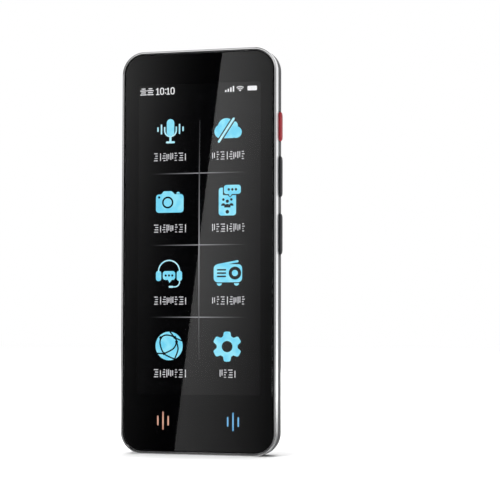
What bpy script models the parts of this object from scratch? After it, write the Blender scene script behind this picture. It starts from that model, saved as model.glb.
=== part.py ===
"""A handheld touch translator at its real size, standing on its bottom end.

World frame: x to the device's right, y from the screen towards the back, z up.
The origin is on the bottom end, in the middle of the casing's width and depth.
A depth is measured straight back from the face of the front glass.
"""

import math

import bmesh
import bpy
from mathutils import Vector

# Casing
HEIGHT = 0.142
WIDTH = 0.0565
DEPTH = 0.0118
CORNER = 0.008
GAP = 0.0003
OVERRUN = 0.001
CORNER_STEPS = 6
SMALL_STEPS = 3
ROUND_SIDES = 24
HOLE_SIDES = 12

# Front glass and the metal frame that holds it
GLASS_THICK = 0.0011
GLASS_ROLL = 0.0007
GLASS_FALL = 0.00035
RIM_LAND = 0.00045
RIM_SINK = 0.00035
RIM_EDGE = 0.00015
RIM_BACK = 0.0036
RIM_WALL = 0.0026
PLATE_THICK = 0.0008
PLATE_INSET = 0.002

# Display, behind the glass
DISPLAY_LOW = 0.0175
DISPLAY_TOP = 0.0095
DISPLAY_THICK = 0.0012
DISPLAY_CORNER = 0.001
BACKLIGHT_THICK = 0.0008
FLEX_THICK = 0.0002
DISPLAY_FLEX_WIDE = 0.012
DISPLAY_FLEX_END = 0.0118
DISPLAY_FLEX_SLOT = 0.0004

# Touch marks under the display
TOUCH_OUT = 0.01275
TOUCH_UP = 0.01175
BAR_WIDE = 0.00063
BAR_PITCH = 0.0019
BAR_SHORT = 0.0036
BAR_TALL = 0.0066
GUIDE_THICK = 0.0005
GUIDE_MARGIN = 0.0006
TOUCH_BOARD_INSET = 0.00625
TOUCH_BOARD_LOW = 0.003
TOUCH_BOARD_TALL = 0.012
TOUCH_BOARD_THICK = 0.0008
TOUCH_BOARD_CORNER = 0.005

# Rear shell
WALL = 0.0017
SIDE_ROUND = 0.005
END_ROUND = 0.0008

# Panel let into the shell's back, open to its top end
PANEL_SIDE = 0.009
PANEL_LAND = 0.0018
PANEL_THICK = 0.0012
PANEL_CORNER = 0.0047
PAD_THICK = 0.001
PAD_LAND = 0.0012

# Loudspeaker behind the panel's slots
SPEAKER_DOWN = 0.018
SLOT_WIDE = 0.00144
SLOT_PITCH = 0.00305
SLOT_LONG = 0.0129
SLOT_LONG_SHARES = (1, 0.83, 0.655, 0.655, 0.83, 1)
SPEAKER_WIDE = 0.0175
SPEAKER_TALL = 0.0135
SPEAKER_CORNER = 0.001
MESH_THICK = 0.0003
MESH_SINK = 0.00035
GASKET_THICK = 0.0006
GASKET_WIDE = 0.0016
BOX_LAND = 0.00225
BOX_WALL = 0.0008
BOX_FLOOR = 0.0006
EAR_LONG = 0.004
EAR_WIDE = 0.0036
EAR_THICK = 0.0006
EAR_BITE = 0.0004

# Rear camera and flash
LENS_LAND = 0.00605
LENS_WIDE = 0.0096
LENS_SINK = 0.0001
LENS_EDGE = 0.0003
BARREL_WIDE = 0.0062
BARREL_LONG = 0.0018
CAMERA_WIDE = 0.0085
FLASH_LAND = 0.0009
FLASH_WIDE = 0.0072
FLASH_TALL = 0.004
PIPE_WIDE = 0.0024
LED_WIDE = 0.003
LED_TALL = 0.0025
LED_THICK = 0.0008

# Boards and what they carry
BOSS_WIDE = 0.0034
BOSS_RISE = 0.0009
BOSS_FLOOR = 0.0004
SCREW_SHANK = 0.001
SCREW_HEAD = 0.0024
SCREW_HEAD_THICK = 0.0006
BOARD_THICK = 0.0008
BOARD_INSET = 0.00325
BOARD_SIDE = 0.00105
BOARD_LAND = 0.002
BOARD_TOP_INSET = 0.005
BOARD_CORNER = 0.005
BOARD_SCREW_OUT = 0.0035
BOARD_SCREW_IN = 0.003
BOARD_SCREW_SIDE = 0.0033
SHIELD_THICK = 0.0017
SHIELD_CORNER = 0.0006
PROCESSOR_LAND = 0.00175
PROCESSOR_SIDE = 0.0008
PROCESSOR_UP = 0.007
PROCESSOR_TALL = 0.021
RADIO_SIDE = 0.001
RADIO_CLEAR = 0.002
RADIO_LAND = 0.0012
RADIO_TALL = 0.0155
BOSS_LAND = 0.00275
PLUG_THICK = 0.0006
CAMERA_PLUG_SIZE = (0.003, 0.004)
CAMERA_PLUG_LAND = 0.00325
BATTERY_PLUG_SIZE = (0.006, 0.003)
BATTERY_PLUG_OFFSET = -0.001
BATTERY_PLUG_UP = 0.0025
DISPLAY_PLUG_SIZE = (0.012, 0.003)
MIC_OUT = 0.01
MIC_SIZE = (0.003, 0.0024)
MIC_THICK = 0.0009
MIC_HOLE = 0.001

# Lower board, charging socket and its flexible link
SUB_BOARD_INSET = 0.00425
SUB_BOARD_LOW = 0.0022
SUB_BOARD_HIGH = 0.0155
SUB_BOARD_SCREW_SIDE = 0.0055
SUB_BOARD_SCREW_UP = 0.011
USB_WIDE = 0.00894
USB_TALL = 0.00316
USB_WALL = 0.0003
USB_BACK = 0.0005
USB_SINK = 0.0005
USB_LONG = 0.0073
USB_HOLE_GAP = 0.00033
TONGUE_WIDE = 0.0067
TONGUE_THICK = 0.0007
LINK_WIDE = 0.0024
LINK_INSET = 0.00225
LINK_LAP = 0.006

# Battery
BATTERY_LINK_LAND = 0.0004
BATTERY_KEY_LAND = 0.00065
BATTERY_LAND = 0.003
BATTERY_THICK = 0.0047
BATTERY_CORNER = 0.0015
GUARD_WIDE = 0.016
GUARD_TALL = 0.003
GUARD_LAND = 0.0017
GUARD_THICK = 0.001
LEAD_WIDE = 0.004

# Card tray in the left side
TRAY_WIDE = 0.012
TRAY_LONG = 0.0126
TRAY_THICK = 0.0006
TRAY_RISE = 0.0006
TRAY_HEAD_LONG = 0.013
TRAY_HEAD_WIDE = 0.0016
TRAY_HEAD_SINK = 0.0001
TRAY_BITE = 0.0004
SOCKET_ROOF = 0.0003
SOCKET_RAIL = 0.0007
SOCKET_LONG = 0.0142

# Keys in the right side
KEY_WIDE = 0.00325
KEY_PROUD = 0.0007
KEY_EDGE = 0.00025
KEY_TRAVEL = 0.00035
POWER_KEY_DOWN = 0.0275
POWER_KEY_LONG = 0.0102
POWER_KEY_SPACE = 0.0053
VOLUME_KEY_SPACE = 0.0059
VOLUME_KEY_LONG = 0.0142
KEY_FRONT_GAP = 0.00045
FLANGE_THICK = 0.0008
FLANGE_LAP = 0.0008
PLUNGER_WIDE = 0.0016
PLUNGER_LONG = 0.0009
SWITCH_SLACK = 0.00005
SWITCH_THICK = 0.0009
SWITCH_TALL = 0.003
SWITCH_WIDE = 0.0018
KEY_FLEX_THICK = 0.0003
BRACKET_THICK = 0.0005
BRACKET_FOOT = 0.0029
BRACKET_REACH = 0.003

# Aerials inside the two ends
AERIAL_THICK = 0.0003
AERIAL_SIDE = 0.00125
AERIAL_WIDE = 0.0027
AERIAL_LAND = 0.00153

# Depths that follow from the sizes above
SEAT = GLASS_THICK + GAP
DISPLAY_BACK = SEAT + DISPLAY_THICK
BACKLIGHT_FRONT = DISPLAY_BACK + GAP
PLATE_FRONT = BACKLIGHT_FRONT + BACKLIGHT_THICK + GAP
PLATE_BACK = PLATE_FRONT + PLATE_THICK
INSIDE_FRONT = PLATE_BACK + GAP
BOARD_FRONT = PLATE_BACK + BOSS_RISE + GAP
BOARD_BACK = BOARD_FRONT + BOARD_THICK
ON_BOARD = BOARD_BACK + GAP
SHELL_FRONT = RIM_BACK + GAP
SHELL_INSIDE = DEPTH - WALL
RECESS_FLOOR = DEPTH - PANEL_THICK - GAP
PAD_FRONT = RECESS_FLOOR - PAD_THICK
SCREW_HOLE = SCREW_SHANK + 2 * GAP

# Places down from the top end
PANEL_WIDE = WIDTH - 2 * PANEL_SIDE
BOX_WIDE = SPEAKER_WIDE + 2 * BOX_LAND
BOX_TALL = SPEAKER_TALL + 2 * BOX_LAND
LENS_DOWN = SPEAKER_DOWN + BOX_TALL / 2 + LENS_LAND + CAMERA_WIDE / 2
FLASH_DOWN = LENS_DOWN + LENS_WIDE / 2 + FLASH_LAND + FLASH_TALL / 2
PANEL_LONG = FLASH_DOWN + FLASH_TALL / 2 + PANEL_LAND
KEY_STEP = POWER_KEY_LONG / 2 + POWER_KEY_SPACE + VOLUME_KEY_LONG / 2
VOLUME_UP_DOWN = POWER_KEY_DOWN + KEY_STEP
VOLUME_DOWN_DOWN = VOLUME_UP_DOWN + VOLUME_KEY_LONG + VOLUME_KEY_SPACE

# Heights on the boards and of the battery
RADIO_HIGH = HEIGHT - SPEAKER_DOWN - EAR_WIDE / 2 - RADIO_LAND
RADIO_LOW = RADIO_HIGH - RADIO_TALL
SIDE_BOSS_UP = RADIO_LOW - BOSS_LAND
SOCKET_WIDE = TRAY_WIDE + 2 * (GAP + SOCKET_RAIL)
TRAY_UP = SIDE_BOSS_UP - BOSS_LAND - SOCKET_WIDE / 2
BOARD_LOW = TRAY_UP - SOCKET_WIDE / 2 - BOARD_LAND
BOARD_HIGH = HEIGHT - BOARD_TOP_INSET
PROCESSOR_LOW = BOARD_LOW + PROCESSOR_UP
BATTERY_LOW = SUB_BOARD_HIGH + BATTERY_LAND
BATTERY_HIGH = BOARD_LOW - GUARD_LAND - GUARD_TALL - GAP

# Stack of pieces inwards from a side key
FLANGE_OUT = WIDTH / 2 - WALL - GAP
FLANGE_IN = FLANGE_OUT - FLANGE_THICK
PLUNGER_TIP = FLANGE_IN - PLUNGER_LONG
SWITCH_OUT = PLUNGER_TIP - KEY_TRAVEL - SWITCH_SLACK
SWITCH_IN = SWITCH_OUT - SWITCH_THICK
KEY_FLEX_OUT = SWITCH_IN - GAP
BRACKET_OUT = KEY_FLEX_OUT - KEY_FLEX_THICK - GAP
BRACKET_IN = BRACKET_OUT - BRACKET_THICK
FOOT_IN = BRACKET_OUT - BRACKET_FOOT

# Places across the width
BOARD_LEFT = -WIDTH / 2 + BOARD_INSET
BOARD_RIGHT = BRACKET_IN - BOARD_SIDE
BATTERY_LEFT = -WIDTH / 2 + LINK_INSET + LINK_WIDE + BATTERY_LINK_LAND
BATTERY_RIGHT = FOOT_IN - BATTERY_KEY_LAND
CAMERA_PLUG_OUT = CAMERA_WIDE / 2 + CAMERA_PLUG_LAND + CAMERA_PLUG_SIZE[0] / 2
RADIO_RIGHT = -CAMERA_PLUG_OUT - CAMERA_PLUG_SIZE[0] / 2 - RADIO_CLEAR

# Finishes: colour, roughness, metallic
CLEAR_GLASS = ((0.03, 0.03, 0.035), 0.05, 0.0)
DARK_GLASS = ((0.01, 0.01, 0.012), 0.08, 0.0)
SILVER_ANODISED = ((0.62, 0.62, 0.63), 0.32, 1.0)
GREY_SHELL = ((0.16, 0.16, 0.165), 0.45, 0.0)
DARK_PANEL = ((0.085, 0.085, 0.09), 0.4, 0.0)
RED_KEY = ((0.42, 0.04, 0.05), 0.35, 0.0)
DARK_KEY = ((0.03, 0.03, 0.034), 0.4, 0.0)
CREAM_LENS = ((0.85, 0.75, 0.42), 0.3, 0.0)
ORANGE_GUIDE = ((0.9, 0.32, 0.05), 0.4, 0.0)
BLUE_GUIDE = ((0.06, 0.4, 0.85), 0.4, 0.0)
BLACK_PLASTIC = ((0.02, 0.02, 0.022), 0.5, 0.0)
GREEN_BOARD = ((0.02, 0.12, 0.06), 0.45, 0.0)
STEEL = ((0.5, 0.5, 0.51), 0.35, 1.0)
COPPER_FLEX = ((0.45, 0.2, 0.05), 0.45, 0.0)
BATTERY_FILM = ((0.1, 0.1, 0.11), 0.55, 0.0)
WHITE_SHEET = ((0.8, 0.8, 0.8), 0.5, 0.0)
BLACK_FOAM = ((0.015, 0.015, 0.015), 0.9, 0.0)

SHARP_ANGLE = math.radians(35)
SAME_POINT = 1e-7


def clear_scene():
    for obj in list(bpy.data.objects):
        bpy.data.objects.remove(obj, do_unlink=True)


def facing(u, v, w):
    """Outline in x and z, built up through the depth."""
    return Vector((u, w - DEPTH / 2, v))


def sideways(u, v, w):
    """Outline in depth and z, built up across the width."""
    return Vector((w, u - DEPTH / 2, v))


def upright(u, v, w):
    """Outline in x and depth, built up along the height."""
    return Vector((u, v - DEPTH / 2, w))


def rounded(u, v, wide, tall, radius, steps=SMALL_STEPS):
    """Outline of a rectangle about (u, v) with round corners, anticlockwise."""
    radius = min(radius, wide / 2, tall / 2)
    points = []
    for quarter, (side, end) in enumerate(((1, 1), (-1, 1), (-1, -1), (1, -1))):
        for step in range(steps + 1):
            turn = math.pi / 2 * (quarter + step / steps)
            point = (
                u + side * (wide / 2 - radius) + radius * math.cos(turn),
                v + end * (tall / 2 - radius) + radius * math.sin(turn),
            )
            if not points or math.dist(point, points[-1]) > SAME_POINT:
                points.append(point)
    if math.dist(points[0], points[-1]) < SAME_POINT:
        points.pop()
    return points


def pill(u, v, wide, tall, inset=0):
    """Outline with half-round ends on its short sides."""
    wide = wide - 2 * inset
    tall = tall - 2 * inset
    return rounded(u, v, wide, tall, min(wide, tall) / 2, CORNER_STEPS)


def box(u, v, wide, tall):
    """Outline of a plain rectangle about (u, v)."""
    return [
        (u + side * wide / 2, v + end * tall / 2)
        for side, end in ((1, 1), (-1, 1), (-1, -1), (1, -1))
    ]


def circle(u, v, wide, sides=HOLE_SIDES):
    """Outline of a round of that diameter."""
    turns = [2 * math.pi * step / sides for step in range(sides)]
    return [(u + wide / 2 * math.cos(t), v + wide / 2 * math.sin(t)) for t in turns]


def casing_outline(inset, end_inset):
    """The casing's plan, drawn in at the sides and the ends about fixed corner centres."""
    points = []
    for quarter, (side, end) in enumerate(((1, 1), (-1, 1), (-1, -1), (1, -1))):
        for step in range(CORNER_STEPS + 1):
            turn = math.pi / 2 * (quarter + step / CORNER_STEPS)
            x = side * (WIDTH / 2 - CORNER) + (CORNER - inset) * math.cos(turn)
            z = end * (HEIGHT / 2 - CORNER) + (CORNER - end_inset) * math.sin(turn)
            points.append((x, HEIGHT / 2 + z))
    return points


def drawn_in(depth, back, radius):
    """How far an edge of that radius, ending at back, has drawn in at a depth."""
    rise = max(0, depth - (back - radius))
    return radius - math.sqrt(max(0, radius**2 - rise**2))


def piece(name, finish, mesh):
    """An object about its own middle, with its own material."""
    bmesh.ops.recalc_face_normals(mesh, faces=mesh.faces[:])
    spans = [[vert.co[axis] for vert in mesh.verts] for axis in range(3)]
    middle = Vector([(min(span) + max(span)) / 2 for span in spans])
    bmesh.ops.translate(mesh, vec=-middle, verts=mesh.verts[:])
    data = bpy.data.meshes.new(name)
    mesh.to_mesh(data)
    mesh.free()
    data.shade_smooth()
    data.set_sharp_from_angle(angle=SHARP_ANGLE)
    obj = bpy.data.objects.new(name, data)
    obj.location = middle
    bpy.context.scene.collection.objects.link(obj)
    if finish:
        data.materials.append(material(name, *finish))
    return obj


def material(name, colour, roughness, metallic):
    made = bpy.data.materials.new(name)
    made.use_nodes = True
    surface = made.node_tree.nodes["Principled BSDF"]
    surface.inputs["Base Color"].default_value = (*colour, 1)
    surface.inputs["Roughness"].default_value = roughness
    surface.inputs["Metallic"].default_value = metallic
    return made


def slab(name, finish, outline, low, high, holes=(), plane=facing):
    """A flat plate of that outline between two levels, with holes right through."""
    mesh = bmesh.new()
    rim = []
    for loop in (outline, *holes):
        points = [mesh.verts.new(plane(u, v, low)) for u, v in loop]
        rim += [mesh.edges.new(pair) for pair in zip(points, points[1:] + points[:1])]
    bmesh.ops.triangle_fill(mesh, use_beauty=True, edges=rim)
    floor = mesh.faces[:]
    rise = plane(0, 0, high) - plane(0, 0, low)
    raised = {vert: mesh.verts.new(vert.co + rise) for vert in mesh.verts[:]}
    for face in floor:
        mesh.faces.new([raised[vert] for vert in reversed(face.verts)])
    for edge in rim:
        start, end = edge.verts
        mesh.faces.new((start, end, raised[end], raised[start]))
    return piece(name, finish, mesh)


def slabs(name, outlines, low, high):
    """One guide of several separate plates."""
    return slab(name, None, outlines[0], low, high, outlines[1:])


def loft(name, finish, rings, plane=facing):
    """A solid through (outline, level) rings of equal count, filled at both ends."""
    mesh = bmesh.new()
    loops = [
        [mesh.verts.new(plane(u, v, level)) for u, v in outline]
        for outline, level in rings
    ]
    for near, far in zip(loops, loops[1:]):
        for this in range(len(near)):
            after = (this + 1) % len(near)
            mesh.faces.new((near[this], near[after], far[after], far[this]))
    mesh.faces.new(loops[0])
    mesh.faces.new(loops[-1])
    return piece(name, finish, mesh)


def turned(name, finish, u, v, profile, sides=HOLE_SIDES, plane=facing):
    """A round solid about (u, v) through (diameter, level) steps."""
    rings = [(circle(u, v, wide, sides), level) for wide, level in profile]
    return loft(name, finish, rings, plane)


def combine(obj, tool, operation):
    """Joins or cuts with a tool, which stays as a hidden guide."""
    change = obj.modifiers.new(tool.name, "BOOLEAN")
    change.operation = operation
    change.object = tool
    tool.hide_render = True
    tool.display_type = "WIRE"


def cut(obj, tool):
    combine(obj, tool, "DIFFERENCE")


def join(obj, tool):
    combine(obj, tool, "UNION")


def make_glass():
    face = GLASS_ROLL / 2
    inset = RIM_LAND + GAP
    steps = (
        (inset + GLASS_ROLL, 0),
        (inset + face / 2, GLASS_FALL / 3),
        (inset, GLASS_FALL),
        (inset, GLASS_THICK),
    )
    rings = [(casing_outline(at, at), depth) for at, depth in steps]
    loft("cover_glass", CLEAR_GLASS, rings)


def boss_places():
    """Middles of the frame's screw bosses, with the piece that each one holds."""
    top = BOARD_HIGH - BOARD_SCREW_IN
    left = BOARD_LEFT + BOARD_SCREW_OUT
    right = BOARD_RIGHT - BOARD_SCREW_SIDE
    ear = BOX_WIDE / 2 + EAR_LONG / 2
    lower = WIDTH / 2 - SUB_BOARD_INSET - SUB_BOARD_SCREW_SIDE
    return {
        "board": [
            (left, top),
            (right, top),
            (left, SIDE_BOSS_UP),
            (right, PROCESSOR_LOW - BOARD_SCREW_SIDE),
        ],
        "sub_board": [(-lower, SUB_BOARD_SCREW_UP), (lower, SUB_BOARD_SCREW_UP)],
        "speaker": [(-ear, HEIGHT - SPEAKER_DOWN), (ear, HEIGHT - SPEAKER_DOWN)],
    }


def make_frame():
    steps = (
        (RIM_WALL, PLATE_FRONT),
        (RIM_WALL, SEAT),
        (RIM_LAND, SEAT),
        (RIM_LAND, RIM_SINK),
        (RIM_EDGE, RIM_SINK),
        (0, RIM_SINK + RIM_EDGE),
        (0, RIM_BACK - RIM_EDGE),
        (RIM_EDGE, RIM_BACK),
        (PLATE_INSET, RIM_BACK),
        (PLATE_INSET, PLATE_BACK),
    )
    rings = [(casing_outline(at, at), depth) for at, depth in steps]
    frame = loft("mid_frame", SILVER_ANODISED, rings)
    foot = PLATE_BACK - PLATE_THICK / 2
    floor = PLATE_FRONT + BOSS_FLOOR
    top = PLATE_BACK + BOSS_RISE
    places = [place for group in boss_places().values() for place in group]
    join(frame, slabs("frame_bosses", [circle(x, z, BOSS_WIDE) for x, z in places], foot, top))
    bores = [circle(x, z, SCREW_HOLE) for x, z in places]
    cut(frame, slabs("frame_bores", bores, floor, top + OVERRUN))
    slot = box(0, flex_fold(), DISPLAY_FLEX_WIDE + 2 * GAP, FLEX_THICK + 2 * DISPLAY_FLEX_SLOT)
    cut(frame, slab("frame_slot", None, slot, PLATE_FRONT - OVERRUN, PLATE_BACK + OVERRUN))


def flex_fold():
    """Height at which the display's lead passes back through the plate."""
    return DISPLAY_LOW - GAP - DISPLAY_FLEX_SLOT - FLEX_THICK * 2


def make_display():
    high = HEIGHT - DISPLAY_TOP
    wide = WIDTH - 2 * (RIM_WALL + GAP)
    outline = rounded(0, (DISPLAY_LOW + high) / 2, wide, high - DISPLAY_LOW, DISPLAY_CORNER)
    slab("display_panel", DARK_GLASS, outline, SEAT, DISPLAY_BACK)
    slab("display_backlight", WHITE_SHEET, outline, BACKLIGHT_FRONT, BACKLIGHT_FRONT + BACKLIGHT_THICK)
    half = FLEX_THICK / 2
    front = (SEAT + DISPLAY_BACK) / 2
    back = (INSIDE_FRONT + BOARD_FRONT) / 2 - half
    fold = flex_fold()
    lead = [
        (front - half, DISPLAY_LOW - GAP),
        (front - half, fold - half),
        (back - half, fold - half),
        (back - half, DISPLAY_FLEX_END),
        (back + half, DISPLAY_FLEX_END),
        (back + half, fold + half),
        (front + half, fold + half),
        (front + half, DISPLAY_LOW - GAP),
    ]
    reach = DISPLAY_FLEX_WIDE / 2
    slab("display_flex", COPPER_FLEX, lead, -reach, reach, plane=sideways)
    plug_wide, plug_tall = DISPLAY_PLUG_SIZE
    plug = box(0, DISPLAY_FLEX_END - GAP - plug_tall / 2, plug_wide, plug_tall)
    slab("display_connector", BLACK_PLASTIC, plug, BOARD_FRONT - GAP - PLUG_THICK, BOARD_FRONT - GAP)


def make_touch_marks():
    board = rounded(
        0,
        TOUCH_BOARD_LOW + TOUCH_BOARD_TALL / 2,
        WIDTH - 2 * TOUCH_BOARD_INSET,
        TOUCH_BOARD_TALL,
        TOUCH_BOARD_CORNER,
    )
    slab("touch_key_board", GREEN_BOARD, board, BACKLIGHT_FRONT, BACKLIGHT_FRONT + TOUCH_BOARD_THICK)
    for name, finish, x in (
        ("touch_light_left", ORANGE_GUIDE, -TOUCH_OUT),
        ("touch_light_right", BLUE_GUIDE, TOUCH_OUT),
    ):
        wide = 2 * BAR_PITCH + BAR_WIDE + 2 * GUIDE_MARGIN
        base = box(x, TOUCH_UP, wide, BAR_TALL + 2 * GUIDE_MARGIN)
        guide = slab(name, finish, base, DISPLAY_BACK - GUIDE_THICK, DISPLAY_BACK)
        for place, tall in ((-1, BAR_SHORT), (0, BAR_TALL), (1, BAR_SHORT)):
            bar = pill(x + place * BAR_PITCH, TOUCH_UP, BAR_WIDE, tall)
            join(guide, slab("touch_bar", None, bar, SEAT, DISPLAY_BACK - GUIDE_THICK / 2))


def recess_outline(margin, low, high):
    """The panel's outline grown by a margin: square at the top, round at the bottom."""
    wide = PANEL_WIDE + 2 * margin
    radius = PANEL_CORNER + margin
    points = [(wide / 2, high), (-wide / 2, high)]
    for side, start in ((-1, math.pi), (1, 3 * math.pi / 2)):
        for step in range(CORNER_STEPS + 1):
            turn = start + math.pi / 2 * step / CORNER_STEPS
            points.append(
                (
                    side * (wide / 2 - radius) + radius * math.cos(turn),
                    low + radius + radius * math.sin(turn),
                )
            )
    return points


def shell_rings():
    """Outer back to front edge, then the inner wall to the inner back."""
    turns = [math.pi / 2 * step / CORNER_STEPS for step in range(CORNER_STEPS + 1)]
    outer = [DEPTH - SIDE_ROUND * (1 - math.cos(turn)) for turn in turns]
    rings = [
        (casing_outline(drawn_in(d, DEPTH, SIDE_ROUND), drawn_in(d, DEPTH, END_ROUND)), d)
        for d in (*outer, SHELL_FRONT)
    ]
    radius = SIDE_ROUND - WALL
    inner = [SHELL_INSIDE - radius * (1 - math.cos(turn)) for turn in turns[::2]]
    rings += [
        (
            casing_outline(
                WALL + drawn_in(d, SHELL_INSIDE, radius),
                WALL + drawn_in(d, SHELL_INSIDE, END_ROUND),
            ),
            d,
        )
        for d in (SHELL_FRONT, *reversed(inner))
    ]
    return rings


def make_shell():
    shell = loft("rear_shell", GREY_SHELL, shell_rings())
    speaker_up = HEIGHT - SPEAKER_DOWN
    pad_low = HEIGHT - PANEL_LONG - GAP - PAD_LAND
    pad_high = HEIGHT - WALL / 2
    pad = box(0, (pad_low + pad_high) / 2, PANEL_WIDE + 2 * (GAP + PAD_LAND), pad_high - pad_low)
    join(shell, slab("shell_pad", None, pad, PAD_FRONT, DEPTH - WALL / 2))
    recess = recess_outline(GAP, HEIGHT - PANEL_LONG - GAP, HEIGHT + OVERRUN)
    cut(shell, slab("shell_recess", None, recess, RECESS_FLOOR, DEPTH + OVERRUN))
    through = (
        ("shell_speaker_hole", rounded(0, speaker_up, SPEAKER_WIDE, SPEAKER_TALL, SPEAKER_CORNER)),
        ("shell_lens_hole", circle(0, HEIGHT - LENS_DOWN, BARREL_WIDE + 2 * GAP, ROUND_SIDES)),
        ("shell_flash_hole", circle(0, HEIGHT - FLASH_DOWN, PIPE_WIDE + 2 * GAP)),
    )
    for name, outline in through:
        cut(shell, slab(name, None, outline, PAD_FRONT - OVERRUN, RECESS_FLOOR + OVERRUN))
    inside = WIDTH / 2 - WALL - OVERRUN
    outside = WIDTH / 2 + OVERRUN
    for name, _, down, long in keys():
        hole = pill(key_depth(), HEIGHT - down, KEY_WIDE + 2 * GAP, long + 2 * GAP)
        cut(shell, slab(name + "_hole", None, hole, inside, outside, plane=sideways))
    slot = pill(tray_depth(), TRAY_UP, TRAY_HEAD_WIDE + 2 * GAP, TRAY_HEAD_LONG + 2 * GAP)
    cut(shell, slab("shell_tray_hole", None, slot, -outside, -inside, plane=sideways))
    reach = 2 * USB_HOLE_GAP
    mouth = pill(0, usb_depth(), USB_WIDE + reach, USB_TALL + reach)
    cut(shell, slab("shell_usb_hole", None, mouth, -OVERRUN, WALL + OVERRUN, plane=upright))
    mic = circle(MIC_OUT, mic_depth(), MIC_HOLE)
    cut(shell, slab("shell_mic_hole_low", None, mic, -OVERRUN, WALL + OVERRUN, plane=upright))
    top = HEIGHT - WALL - OVERRUN
    cut(shell, slab("shell_mic_hole_high", None, mic, top, HEIGHT + OVERRUN, plane=upright))


def mic_depth():
    return ON_BOARD + MIC_THICK / 2


def make_panel():
    speaker_up = HEIGHT - SPEAKER_DOWN
    first = -(len(SLOT_LONG_SHARES) - 1) / 2 * SLOT_PITCH
    holes = [
        pill(first + place * SLOT_PITCH, speaker_up, SLOT_WIDE, share * SLOT_LONG)
        for place, share in enumerate(SLOT_LONG_SHARES)
    ]
    holes.append(circle(0, HEIGHT - LENS_DOWN, LENS_WIDE + 2 * GAP, ROUND_SIDES))
    holes.append(pill(0, HEIGHT - FLASH_DOWN, FLASH_WIDE + 2 * GAP, FLASH_TALL + 2 * GAP))
    outline = recess_outline(0, HEIGHT - PANEL_LONG, HEIGHT)
    panel = slab("camera_panel", DARK_PANEL, outline, RECESS_FLOOR + GAP, DEPTH, holes)
    turns = [math.pi / 2 * step / SMALL_STEPS for step in range(SMALL_STEPS + 1)]
    edge = [
        (
            DEPTH - END_ROUND * (1 - math.sin(turn)),
            HEIGHT - END_ROUND * (1 - math.cos(turn)),
        )
        for turn in turns
    ]
    edge += [
        (DEPTH + OVERRUN, HEIGHT - END_ROUND),
        (DEPTH + OVERRUN, HEIGHT + OVERRUN),
        (DEPTH - END_ROUND, HEIGHT + OVERRUN),
    ]
    reach = PANEL_WIDE / 2 + OVERRUN
    cut(panel, slab("panel_edge", None, edge, -reach, reach, plane=sideways))


def make_speaker():
    up = HEIGHT - SPEAKER_DOWN
    mesh_front = PAD_FRONT + MESH_SINK
    fit = rounded(0, up, SPEAKER_WIDE - 2 * GAP, SPEAKER_TALL - 2 * GAP, SPEAKER_CORNER)
    slab("speaker_mesh", STEEL, fit, mesh_front, mesh_front + MESH_THICK)
    reach = 2 * GASKET_WIDE
    ring = rounded(0, up, SPEAKER_WIDE + reach, SPEAKER_TALL + reach, SPEAKER_CORNER + GASKET_WIDE)
    opening = rounded(0, up, SPEAKER_WIDE, SPEAKER_TALL, SPEAKER_CORNER)
    gasket_back = PAD_FRONT - GAP
    gasket_front = gasket_back - GASKET_THICK
    slab("speaker_gasket", BLACK_FOAM, ring, gasket_front, gasket_back, [opening])
    outer = rounded(0, up, BOX_WIDE, BOX_TALL, SPEAKER_CORNER + BOX_WALL)
    inner = rounded(0, up, BOX_WIDE - 2 * BOX_WALL, BOX_TALL - 2 * BOX_WALL, SPEAKER_CORNER)
    box_back = gasket_front - GAP
    floor = INSIDE_FRONT + BOX_FLOOR
    rings = [(outer, INSIDE_FRONT), (outer, box_back), (inner, box_back), (inner, floor)]
    holder = loft("speaker_box", BLACK_PLASTIC, rings)
    margin = 2 * (BOX_WALL + GAP)
    driver = rounded(0, up, BOX_WIDE - margin, BOX_TALL - margin, SPEAKER_CORNER)
    slab("speaker_driver", DARK_GLASS, driver, floor + GAP, box_back)
    for x, z in boss_places()["speaker"]:
        side = math.copysign(1, x)
        middle = side * (BOX_WIDE + EAR_LONG - EAR_BITE) / 2
        ear = rounded(middle, z, EAR_LONG + EAR_BITE, EAR_WIDE, SPEAKER_CORNER)
        hole = circle(x, z, SCREW_HOLE)
        join(holder, slab("speaker_ear", None, ear, ON_BOARD, ON_BOARD + EAR_THICK, [hole]))


def make_camera():
    up = HEIGHT - LENS_DOWN
    profile = (
        (LENS_WIDE, RECESS_FLOOR + GAP),
        (LENS_WIDE, DEPTH - LENS_SINK - LENS_EDGE),
        (LENS_WIDE - 2 * LENS_EDGE, DEPTH - LENS_SINK),
    )
    turned("camera_window", DARK_GLASS, 0, up, profile, ROUND_SIDES)
    barrel_front = RECESS_FLOOR - BARREL_LONG
    profile = ((BARREL_WIDE, barrel_front), (BARREL_WIDE, RECESS_FLOOR))
    turned("camera_barrel", BLACK_PLASTIC, 0, up, profile, ROUND_SIDES)
    body = box(0, up, CAMERA_WIDE, CAMERA_WIDE)
    body_back = barrel_front - GAP
    slab("camera_housing", BLACK_PLASTIC, body, INSIDE_FRONT, body_back)
    wide, tall = CAMERA_PLUG_SIZE
    plug = box(-CAMERA_PLUG_OUT, up, wide, tall)
    slab("camera_connector", BLACK_PLASTIC, plug, ON_BOARD, ON_BOARD + PLUG_THICK)
    start = -CAMERA_PLUG_OUT - wide / 2
    end = -CAMERA_WIDE / 2 - GAP
    strip = box((start + end) / 2, up, end - start, tall)
    front = ON_BOARD + PLUG_THICK + GAP
    slab("camera_flex", COPPER_FLEX, strip, front, front + FLEX_THICK)


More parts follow.
